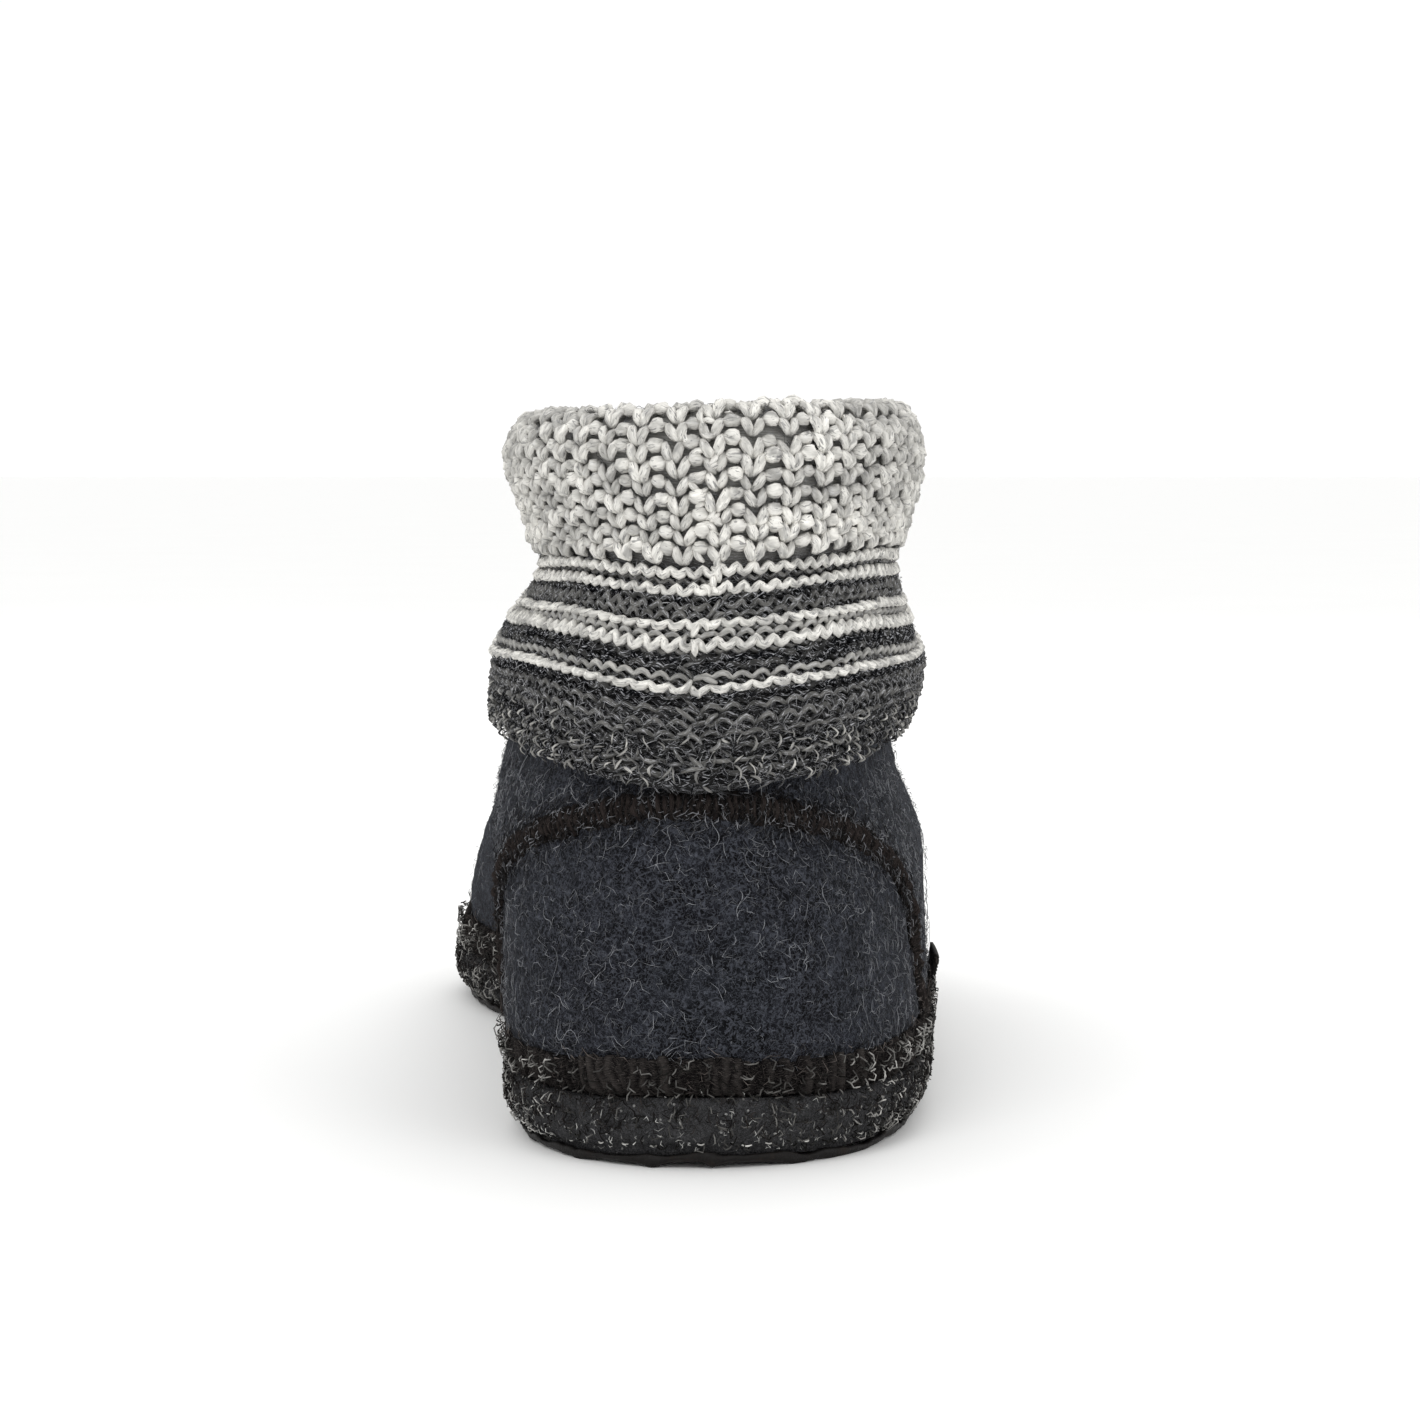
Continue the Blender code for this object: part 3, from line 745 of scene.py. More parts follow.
@dataclass(frozen=True)
class SlipperShape:
    """The solids' own functions: outline of the sole, sections of the upper and of the cuff."""

    sole_length: float = 0.276
    heel_reach: float = 0.036
    ball_width: float = 0.107
    heel_width: float = 0.0785
    outsole_thickness: float = 0.0028
    felt_sole_thickness: float = 0.0090
    toe_spring: float = 0.008
    spring_start: float = 0.165
    heel_lift: float = 0.0015
    heel_lift_length: float = 0.016
    outsole_inset: float = 0.0034
    upper_wall: float = 0.0038
    heel_height: float = 0.0725
    instep_height: float = 0.0855
    instep_lean: float = -0.0030
    insole_thickness: float = 0.0030
    welt_height: float = 0.0068
    welt_thickness: float = 0.0016
    heel_band_width: float = 0.0050
    heel_band_thickness: float = 0.0012
    heel_band_top: float = 0.0652
    heel_band_leg_angle: float = math.radians(52)
    tab_start: float = 0.076
    tab_length: float = 0.018
    tab_height: float = 0.0105
    tab_thickness: float = 0.0010
    knit_wall: float = 0.0030
    cuff_height: float = 0.1340
    cuff_half_width: float = 0.0370
    cuff_side_tilt: float = 0.030
    hem_back_level: float = 5.12
    hem_front_level: float = 7.35
    hem_arch: float = 0.88
    hem_looseness: float = 0.0019
    hem_sag: float = 1.60
    clearance: float = 0.0003
    # Shares of a section's length where its five half widths stand
    shares: ClassVar[Array] = np.array([0.05, 0.16, 0.42, 0.70, 0.92])
    # rise, top, back, reach, near, heel, waist, ball, toe, lean
    upper_sections: ClassVar[Array] = np.array([
        (0.000, 0.000, 0.000, 1.000, 0.700, 0.990, 0.725, 0.980, 0.695, 0.00),
        (0.130, 0.120, -0.003, 1.003, 0.690, 0.980, 0.728, 0.925, 0.675, 0.25),
        (0.295, 0.250, -0.006, 0.988, 0.665, 0.965, 0.768, 0.918, 0.635, 0.50),
        (0.460, 0.360, -0.005, 0.936, 0.630, 0.940, 0.798, 0.885, 0.580, 0.80),
        (0.600, 0.450, 0.001, 0.842, 0.578, 0.890, 0.790, 0.830, 0.510, 1.20),
        (0.722, 0.560, 0.009, 0.725, 0.522, 0.815, 0.745, 0.748, 0.440, 1.25),
        (0.832, 0.690, 0.016, 0.620, 0.473, 0.740, 0.695, 0.670, 0.388, 1.10),
        (0.930, 0.845, 0.022, 0.540, 0.435, 0.680, 0.665, 0.622, 0.365, 1.00),
        (1.000, 1.000, 0.027, 0.480, 0.411, 0.640, 0.636, 0.593, 0.350, 1.00),
    ])
    midline_shares: ClassVar[Array] = np.array([0.0, 0.16, 0.42, 0.70, 1.0])
    midline_swing: ClassVar[Array] = np.array([-0.028, -0.004, 0.050, -0.050, -0.100])
    # height, tilt, back, front, width, side
    cuff_sections: ClassVar[Array] = np.array([
        (0.765, 0.045, -0.104, 0.310, 0.880, 0.004),
        (0.835, 0.025, -0.103, 0.288, 0.918, 0.014),
        (0.925, 0.008, -0.109, 0.290, 1.000, -0.004),
        (0.974, 0.002, -0.107, 0.287, 0.990, -0.016),
        (1.000, 0.000, -0.096, 0.276, 0.897, -0.014),
        (0.974, 0.002, -0.084, 0.264, 0.800, -0.012),
        (0.880, 0.012, -0.083, 0.262, 0.785, -0.010),
        (0.765, 0.045, -0.086, 0.292, 0.750, 0.000),
    ])
    ring_widths: ClassVar[Array] = np.array([0.45, 0.73, 1.00, 0.92, 0.54])
    # Felt sole's side from the tread up: share of the outsole's inset, share of the thickness
    sole_profile: ClassVar[Array] = np.array(
        [(1.0, 0.0), (0.45, 0.14), (0.12, 0.36), (0, 0.62), (0, 0.88), (0.12, 1)]
    )

    @property
    def feather(self) -> float:
        """Height of the foot of the upper over the floor."""
        return self.outsole_thickness + self.felt_sole_thickness + self.clearance

    @property
    def collar(self) -> int:
        """Number of the section that is the collar."""
        return len(self.upper_sections) - 1

    def half_width(self, phi: Array, widths: Array) -> Array:
        """Signed half width of a section: sine of phi times five cosine waves through widths."""
        angles = np.arccos(1 - 2 * self.shares)
        waves = np.arange(len(self.shares))
        fit = np.linalg.inv(np.cos(np.outer(angles, waves)))
        basis = np.cos(phi[..., None] * waves) @ fit / np.sin(angles)
        return np.sin(phi) * (basis * widths).sum(-1)

    def sole_rise(self, y: Array) -> Array:
        """Height of the underside over the floor: squared spring at the toe, curl at the heel."""
        reach = self.sole_length - self.heel_reach - self.spring_start
        toe = np.clip((y - self.spring_start) / reach, 0, None)
        heel = np.clip((self.heel_lift_length - self.heel_reach - y) / self.heel_lift_length, 0, None)
        return self.toe_spring * toe**2 + self.heel_lift * heel**2

    def midline(self, y: Array) -> Array:
        """Sideways place of the sole's middle line."""
        share = np.clip((y + self.heel_reach) / self.sole_length, 0, 1)
        return smooth(share, self.midline_shares, self.midline_swing * self.ball_width)

    def upper_points(self, phi: Array, level: Array | float, tucked: bool = True) -> Array:
        """Points on the outside of the upper.

        Args:
            phi: angle round a section, 0 at the back point and rising over the outer side.
            level: section, which may be a fraction.
            tucked: whether the lowest section steps in by the depth of the welt.

        Returns:
            Points: back to front by (1 - cos phi) / 2, sideways by the section's half width.
        """
        phi, level = np.broadcast_arrays(np.asarray(phi, float), np.asarray(level, float))
        rows = np.arange(len(self.upper_sections), dtype=float)
        at = smooth(level, rows, self.upper_sections)
        rise, top, back, reach = (at[..., i] for i in range(4))
        depth = self.welt_thickness + 2 * self.clearance
        tuck = depth * np.clip(1 - level, 0, 1) if tucked else 0 * level
        half = np.array([self.heel_width] * 2 + [self.ball_width] * 3) / 2
        widths = at[..., 4:9] * half - tuck[..., None]
        start = back * self.sole_length - self.heel_reach + tuck
        end = reach * self.sole_length - self.heel_reach - tuck
        share = (1 - np.cos(phi)) / 2
        y = start + (end - start) * share
        low, high = rise * self.heel_height, top * self.instep_height
        swing = self.midline(y) * np.clip(1.35 - 1.8 * rise, 0, 1)
        x = self.half_width(phi, widths) + swing + at[..., 9] * self.instep_lean
        z = self.feather + low + (high - low) * share + self.sole_rise(y)
        return np.stack([x, y, z], axis=-1)

    def upper_normals(self, phi: Array, level: Array) -> Array:
        """Outward unit normals of the upper: cross product of small steps round and up it."""
        step = 1e-3
        level = np.clip(level, step, self.collar - step)
        round_it = self.upper_points(phi + step, level) - self.upper_points(phi - step, level)
        up_it = self.upper_points(phi, level + step) - self.upper_points(phi, level - step)
        return unit(np.cross(round_it, up_it))

    def upper_offset(self, phi: Array, level: Array | float, offset: Array | float) -> Array:
        """Points that lie offset outside the upper's outer surface."""
        phi, level = np.broadcast_arrays(np.asarray(phi, float), np.asarray(level, float))
        away = np.broadcast_to(offset, phi.shape)[..., None]
        return self.upper_points(phi, level) + away * self.upper_normals(phi, level)

    def level_at_height(self, height: Array | float) -> Array:
        """Section whose back point stands at this height over the floor."""
        levels = np.linspace(0, self.collar, 200)
        return np.interp(height, self.upper_points(0.0, levels)[:, 2], levels)

    def sole_ring(self, phi: Array, inset: float, height: float) -> Array:
        """The rim's outline moved inwards along its own normal, at this height of the sole."""
        rim = self.upper_points(phi, 0.0, tucked=False)[:, :2]
        step = np.roll(rim, -1, axis=0) - np.roll(rim, 1, axis=0)
        outward = unit(np.stack([step[:, 1], -step[:, 0]], axis=1))
        plan = rim - inset * outward
        return np.column_stack([plan, height + self.sole_rise(plan[:, 1])])

    def seated(self, ring: Array) -> Array:
        """The ring moved up or down onto the line just over the felt sole."""
        return np.column_stack([ring[:, :2], self.feather + self.sole_rise(ring[:, 1])])

    def heel_band_path(self, turns: Array) -> tuple[Array, Array]:
        """Angle and section along the arched band: leg angle * cos, height by sin ** 0.42."""
        low = self.feather + self.heel_lift + self.welt_height + self.heel_band_width / 2
        bend = np.clip(np.sin(turns), 0, 1) ** 0.42
        level = self.level_at_height(low + (self.heel_band_top - low) * bend)
        return self.heel_band_leg_angle * np.cos(turns), level

    def cuff_rings(self, phi: Array) -> Array:
        """Rings of the knit's middle surface from the hem, over the fold, to its foot inside."""
        share = (1 - np.cos(phi)) / 2
        arch = self.hem_arch * np.abs(np.sin(phi)) * np.clip(np.cos(phi), 0, None)
        fall = self.hem_front_level - self.hem_back_level
        hem = self.hem_back_level + fall * share**0.8 + arch
        clear = self.clearance * 1.5 + self.knit_wall / 2
        loose = np.array([0.0, 0.55, 1.0, 0.75]) * self.hem_looseness
        sag = 1 + self.hem_sag * np.clip(np.sin(phi), 0, None)
        band = self.heel_band_thickness + self.clearance
        over_band = band * np.clip(1.6 - share / 0.06, 0, 1)
        rings = []
        for portion, slack in zip((0.0, 0.33, 0.66, 1.0), loose):
            level = hem + (self.collar - hem) * portion
            rings.append(self.upper_offset(phi, level, clear + np.maximum(slack * sag, over_band)))
        for height, tilt, back, front, width, side in self.cuff_sections:
            back, front = back * self.sole_length, front * self.sole_length
            widths = self.ring_widths * width * self.cuff_half_width
            x = self.half_width(phi, widths) + side * self.cuff_half_width
            z = self.cuff_height * (height + tilt * share) + self.cuff_side_tilt * x
            rings.append(np.column_stack([x, back + (front - back) * share, z]))
        foot = self.upper_offset(phi, self.collar, -self.upper_wall / 2)
        rings.append(foot + np.array([0, 0, 3 * self.clearance]))
        return np.array(rings)

    def even_angles(self, points: Callable[[Array], Array], count: int) -> Array:
        """Angles of count points that lie the same distance apart round a closed line."""
        phi = np.linspace(0, math.tau, 2001)
        steps = np.linalg.norm(np.diff(points(phi), axis=0), axis=1)
        length = np.concatenate([[0], np.cumsum(steps)])
        return np.interp(np.arange(count) / count * length[-1], length, phi)

    def upper_angles(self, level: float, count: int) -> Array:
        """Angles of count points the same distance apart round one section of the upper."""
        return self.even_angles(lambda phi: self.upper_points(phi, level, level > 0), count)

    def cuff_cloth(self) -> ClothMap:
        """Map of the cuff: climb 0 at the hem, 1 at the fold, more on the inside."""
        between, fold_back, fold = 24, 6, 8
        phi = self.even_angles(lambda p: self.cuff_rings(p)[fold_back], 400)
        rings = self.cuff_rings(phi)
        stations = np.arange(len(rings), dtype=float)
        fine = np.linspace(0, len(rings) - 1, (len(rings) - 1) * between + 1)
        rows = smooth(fine, stations, rings.reshape(len(rings), -1)).reshape(len(fine), -1, 3)
        return ClothMap(rows, phi, fold * between, (-0.03, 1.50, 360))

    def upper_cloth(self) -> ClothMap:
        """Map of the upper's outside: climb 0 at the sole, 1 at the collar."""
        phi = self.upper_angles(2.0, 512)
        angle, level = np.meshgrid(phi, np.linspace(0, self.collar, 161))
        return ClothMap(self.upper_points(angle, level), phi, 160, (-0.02, 1.0, 200))

    def sole_cloth(self) -> ClothMap:
        """Map of the felt sole's side: climb 0 at the tread, 1 at the foot of the upper."""
        phi = self.upper_angles(0.0, 720)
        low, tall = self.outsole_thickness, self.felt_sole_thickness
        rows = [
            self.sole_ring(phi, max(inset, 0.0) * self.outsole_inset, low + share * tall)
            for inset, share in smooth(np.linspace(0, 5, 61), np.arange(6.0), self.sole_profile)
        ]
        return ClothMap(np.array(rows), phi, 60, (0.0, 1.0, 40))


@dataclass
class KnittedCuff:
    """Cuff knitted in the round: ribbing over the fold, garter ridges down to the hem."""

    shape: SlipperShape
    stitches: int = 92
    rib_stitches: int = 90
    rib_start: float = 0.596
    rib_rows: int = 22
    rib_rows_outside: int = 13
    rib_pitch: float = 2.9 * MM
    rib_radius: float = 0.84 * MM
    under_radius: float = 0.60 * MM
    ground_faces: tuple[float, float] = (0.1 * MM, -1.3 * MM)
    hem_flare: float = 1.2 * MM
    flare_top: float = 0.30
    stray: float = 0.0045
    jog: float = 0.006
    ease: float = 0.010
    ease_reach: float = 6 * MM
    seam_stitches: int = 44
    finish: Finish = WoolYarn("merino_marl_yarn")
    # Two stitches of rib: place in stitches, height in row pitches, lift in mm, fullness
    loop: tuple[tuple[float, ...], ...] = (
        (-0.53, 0.50, -0.10, 0.78),
        (-0.42, 0.26, 0.85, 1.12),
        (-0.24, -0.14, 1.10, 1.20),
        (-0.08, -0.46, 0.20, 0.80),
        (0.08, -0.46, 0.20, 0.80),
        (0.24, -0.14, 1.10, 1.20),
        (0.42, 0.26, 0.85, 1.12),
        (0.53, 0.50, -0.10, 0.78),
        (0.63, 0.50, 0.00, 0.90),
        (0.80, 0.40, 0.60, 1.55),
        (1.00, 0.42, 0.75, 1.68),
        (1.20, 0.40, 0.60, 1.55),
        (1.37, 0.50, 0.00, 0.90),
    )
    # Ridges from the ribbing down: climb, shade, rise of the wave and radius in mm, and how
    # far the crests (above 0) or the troughs (below 0) sink behind the cloth
    ridges: tuple[tuple[float, Shade, float, float, float], ...] = (
        (0.570, Shade.ECRU, 0.60, 0.80, 0.20),
        (0.522, Shade.ECRU, 0.56, 0.78, 0.20),
        (0.497, Shade.SLATE, 0.45, 0.60, -0.40),
        (0.473, Shade.GREY, 0.55, 0.54, 0.10),
        (0.450, Shade.GREY, 0.45, 0.55, -0.60),
        (0.424, Shade.ECRU, 0.42, 0.84, 0.70),
        (0.396, Shade.PALE, 0.45, 0.58, -0.60),
        (0.371, Shade.ECRU, 0.72, 0.88, 0.15),
        (0.338, Shade.CHARCOAL, 0.40, 0.62, 0.40),
        (0.312, Shade.SLATE, 0.40, 0.56, -0.50),
        (0.286, Shade.PALE, 0.42, 0.56, -0.60),
        (0.257, Shade.ECRU, 0.42, 0.84, 0.70),
        (0.234, Shade.CHARCOAL, 0.38, 0.62, -0.40),
        (0.200, Shade.GREY, 0.42, 0.50, -0.60),
        (0.166, Shade.GREY, 0.48, 0.50, -0.60),
        (0.133, Shade.GREY, 0.42, 0.48, -0.60),
        (0.100, Shade.SLATE, 0.42, 0.52, -0.60),
        (0.067, Shade.GREY, 0.38, 0.46, 0.60),
        (0.034, Shade.SLATE, 0.34, 0.52, 0.30),
    )
    # Rows of upright stitches at the hem: climb and share of them that is kept
    hem_rows: tuple[tuple[float, float], ...] = (
        (0.006, 1.0), (0.038, 0.9), (0.070, 0.8), (0.100, 0.6), (0.130, 0.4)
    )

    def build(self) -> None:
        """Makes every piece of the cuff."""
        self.cloth = self.shape.cuff_cloth()
        self.table = np.array([(climb, shade.value, *rest) for climb, shade, *rest in self.ridges])
        steps = (np.arange(self.rib_rows) + 0.5) * self.rib_pitch / self.cloth.height
        climbs, outside = self.rib_start + steps, self.rib_rows_outside
        publish(self.ground(), "cuff_ground", self.finish, Slot.KNIT, "cuff")
        for surface, name in (
            (self.rib(climbs[:outside], 1, 18), "cuff_rib"),
            (self.rib(climbs[outside:], 2, 12), "cuff_rib_inside"),
            (self.ridge_yarns(), "cuff_ridges"),
            (self.under_yarns(), "cuff_under_yarns"),
            (self.seam(), "cuff_seam_stitches"),
            (self.hem_stitches(), "cuff_hem_stitches"),
        ):
            publish(surface, name, self.finish, Slot.KNIT)
        hair = Thread("wool_nap", dark="#202126", light="#C2C2C4")
        publish(self.nap(), "cuff_nap", hair, Slot.KNIT)

    def wander(self, turn: Array, row: Array, seed: int) -> Array:
        """Small climb by which rows stray: eased at the back seam, a step where rounds begin."""
        stray = self.stray * lattice(turn, row / 40, (23, 40), seed)
        beside = ((turn + 0.5) % 1 - 0.5) * self.cloth.girth / self.ease_reach
        return stray + self.jog * (0.5 - turn % 1) + self.ease * np.exp(-(beside**2))

    def flare(self, turn: Array, climb: Array) -> Array:
        """Distance by which the hem stands off at the sides, fading out up the cuff."""
        fade = np.clip(1 - climb / self.flare_top, 0, 1)
        return self.hem_flare * fade * np.sin(math.tau * turn) ** 2

    def laid(self, turn: Array, climb: Array, lift: Array | float) -> tuple[Array, Array]:
        """Points over the flared cloth and the cloth's normals there."""
        return self.cloth.place(turn, climb, lift + self.flare(turn, climb))

    def ground(self) -> Surface:
        """Cloth behind the loops, grey in the rib and dark below: a shell 1.4 mm thick."""
        turn, climb = np.meshgrid(np.arange(140) / 140, np.linspace(0.0, 1.48, 40))
        outer, inner = (self.laid(turn, climb, lift)[0] for lift in self.ground_faces)
        shade = 0.02 + 0.40 * np.clip((climb - self.rib_start) / 0.02, 0, 1)
        tone = np.concatenate([shade, shade[::-1]])
        return grid(np.concatenate([outer, inner[::-1]]), (True, True), tone).facing_out()

    def rib(self, climbs: Array, seed: int, steps: int) -> Surface:
        """Rows of 1x1 rib: each knit stitch shows two chunky legs as a V, each purl stitch a bar.

        The yarn of a row is a smooth curve through the loop's key points, repeated every two
        stitches. It swells where it comes forward and dips behind the cloth between.

        Args:
            climbs: climb of each row.
            seed: seed of the stray and the shades.
            steps: points of the curve in two stitches.

        Returns:
            One closed tube a row.
        """
        pairs = self.rib_stitches // 2
        key = np.array(self.loop)
        wrapped = np.concatenate([key[-3:] - (2, 0, 0, 0), key, key[:3] + (2, 0, 0, 0)])
        stations = np.arange(len(wrapped), dtype=float)
        curve = smooth(3 + np.arange(steps) / steps * len(key), stations, wrapped)
        x = (np.arange(pairs)[:, None] * 2 + curve[:, 0]).ravel()
        y, lift, full = (np.tile(curve[:, i], pairs) for i in (1, 2, 3))
        row = np.arange(len(climbs), dtype=float)[:, None]
        turn = x / self.rib_stitches
        loose = lattice(turn, row / 24, (pairs, 24), seed)
        tilt = lattice(turn, row / 24, (pairs, 24), seed + 1)
        grain = lattice(turn, row / 24, (2 * self.rib_stitches, 24), seed + 3)
        aside = (0.13 * tilt + 0.10 * grain) / self.rib_stitches
        high = self.rib_pitch * (y * (1 + 0.18 * loose) + 0.12 * tilt + 0.05 * grain)
        climb = climbs[:, None] + high / self.cloth.height + self.wander(turn, row, seed + 5)
        away = (lift * (1 + 0.25 * loose) + 0.75 + 0.22 * grain) * MM
        points, up = self.laid(turn + aside, climb, away)
        patch = lattice(turn, climbs[:, None], (14, 9), seed + 9)
        # Painted shade: the tone drops by 0.34 where the yarn lies under 0.25 mm off the cloth,
        # dipping behind it; patches, grain and looseness are the yarn's own tone
        tone = 0.80 + 0.16 * patch + 0.18 * grain + 0.12 * loose - 0.34 * (lift < 0.25)
        thick = self.rib_radius * full * (1 + 0.14 * grain + 0.08 * loose)
        tone = np.clip(tone, 0.25, 1.0)
        return tubes(points, thick, up, 5, closed=True, tone=tone, squash=0.85)

    def rounds(self, segments: int, shift: float) -> tuple[Array, Array, Array]:
        """Places in stitches round the ridges, their rows, and the angle of each row's wave."""
        u = np.arange(self.stitches * segments) / segments
        row = np.arange(len(self.table), dtype=float)[:, None]
        return u, row, math.tau * (u + shift + 0.5 * (row % 2))

    def ridge_yarns(self) -> Surface:
        """Front yarns of the garter ridges: waves whose crests or troughs sink behind the cloth."""
        u, row, theta = self.rounds(6, 0.0)
        middle, light, rise, radius, sink = np.split(self.table, 5, axis=1)
        behind = np.abs(sink) * (1 + np.sign(sink) * np.cos(theta)) / 2
        size = 1 + 0.30 * lattice(u / self.stitches, row / 32, (self.stitches // 2, 32), 21)
        grain = lattice(u / self.stitches, row / 32, (2 * self.stitches, 32), 23)
        turn = (u - 0.05 * np.sign(sink) * np.sin(theta) + 0.05 * grain) / self.stitches
        high = (rise * size * np.cos(theta) + 0.16 * grain) * MM / self.cloth.height
        climb = middle + high + self.wander(turn, row, 22)
        points, up = self.laid(turn, climb, (1.05 + 0.30 * light - 0.9 * behind + 0.1 * grain) * MM)
        tone = np.clip(light * (1 + 0.20 * grain) + 0.06 * grain, 0, 1)
        thick = radius * MM * (1 - 0.4 * behind) * (1 + 0.12 * grain)
        return tubes(points, thick, up, 5, closed=True, tone=tone)

    def under_yarns(self) -> Surface:
        """Yarns that show between the ridges, half a pitch lower and set back, painted darker as shade
        of the recess.
        """
        u, row, theta = self.rounds(4, 0.25)
        turn = u / self.stitches
        climbs, light = np.append(self.table[:, :1], [[0.0]], axis=0), self.table[:, 1:2]
        between = (climbs[:-1] + climbs[1:]) / 2
        climb = between + 0.5 * MM * np.cos(theta) / self.cloth.height + self.wander(turn, row, 22)
        grain = lattice(turn, row / 40, (self.stitches, 40), 27)
        # Painted shade: each under yarn is the ridge above it at a fifth of its tone
        tone = np.clip((0.20 * light + 0.015) * (1 + 0.7 * grain), 0, 1)
        points, up = self.laid(turn, climb, 0.35 * MM)
        return tubes(points, self.under_radius, up, 3, closed=True, tone=tone)

    def seam(self) -> Surface:
        """Bigger stray stitches up the back, where the rounds of knitting begin and end."""
        rng = np.random.default_rng(37)
        count, one = self.seam_stitches, (self.seam_stitches, 1)
        climb = 0.04 + (np.arange(count) + rng.uniform(0.2, 0.8, count)) / count * 0.94
        s = np.linspace(-0.5, 0.5, 7)
        side = rng.normal(-0.004, 0.005, one)
        heading = rng.normal(0, 0.5, one) + rng.choice([-0.8, 0.8], one)
        length = rng.uniform(2.0, 3.6, one) * MM
        bow = rng.normal(0, 0.5, one) * MM * np.cos(math.pi * s)
        x = length * s * np.cos(heading) - bow * np.sin(heading)
        y = length * s * np.sin(heading) + bow * np.cos(heading)
        turn, height = side + x / self.cloth.girth, climb[:, None] + y / self.cloth.height
        points, up = self.cloth.place(turn, height, (1.05 + 0.75 * np.cos(math.pi * s)) * MM)
        nearest = np.abs(climb[:, None] - self.table[:, 0]).argmin(1)
        tone = np.where(climb > self.rib_start, 0.85, self.table[nearest, 1])
        thick = (0.38 + 0.30 * tone[:, None]) * MM * (1 - 0.45 * (2 * s) ** 2)
        return tubes(points, thick, up, 6, tone=np.clip(tone + 0.08, 0, 1))

    def hem_stitches(self) -> Surface:
        """Short upright strands of the cast-on edge, in pairs that lean together, in five rows."""
        rng = np.random.default_rng(39)
        legs = np.arange(3 * self.stitches)
        climbs, shares = np.array(self.hem_rows).T[..., None]
        every = np.broadcast_arrays((legs + 0.5) / len(legs), climbs, 0.5 * (-1.0) ** legs, shares)
        turn, climb, lean, share = (part.ravel() for part in every)
        kept = rng.uniform(0, 1, len(turn)) < share
        turn, climb, lean = (part[kept][:, None] for part in (turn, climb, lean))
        shape = turn.shape
        s = np.linspace(-0.5, 0.5, 5)
        length = rng.uniform(1.4, 2.9, shape) * MM
        lean = lean + rng.normal(0, 0.42, shape)
        bow = rng.normal(0, 0.3, shape) * MM * np.cos(math.pi * s)
        x = length * s * np.sin(lean) + bow + rng.normal(0, 0.35, shape) * MM
        y = length * s * np.cos(lean) + rng.normal(0, 0.45, shape) * MM
        lift = (0.7 + 0.9 * np.cos(math.pi * s) + rng.uniform(-0.1, 0.4, shape)) * MM
        points, up = self.laid(turn + x / self.cloth.girth, climb + y / self.cloth.height, lift)
        tone = rng.uniform(0, 1, shape) ** 2.6 * 0.95
        thick = rng.uniform(0.12, 0.28, shape) * MM * (1 - 0.5 * np.abs(2 * s) ** 2)
        return tubes(points, thick, up, 4, tone=tone[:, 0])

    def nap(self) -> Surface:
        """Hairs of the yarn: upright at the hem, fine and tangled above, dark in the ribbing."""
        rng = np.random.default_rng(31)
        thick, rise, made = (0.04, 0.09), (1.2, 0.9), []
        for hairs, span, tones in (
            (Hairs(1900, (1.0, 3.0), thick, 32, 220, rise, 0.5), (-0.010, 0.17), (0.05, 0.95)),
            (Hairs(1800, (0.8, 2.6), thick, 33, 380, rise, 3.0), (0.10, 0.56), (0.0, 0.90)),
            (Hairs(3200, (1.4, 4.4), (0.035, 0.075), 34, 420, rise, 3.0, 4), (0.56, 1.12), (0, 0.6)),
        ):
            turn, climb = rng.uniform(0, 1, hairs.count), rng.uniform(*span, hairs.count)
            made.append(hairs.grow(self.cloth, turn, climb, rng.uniform(*tones, hairs.count)))
        return made[0] + made[1] + made[2]


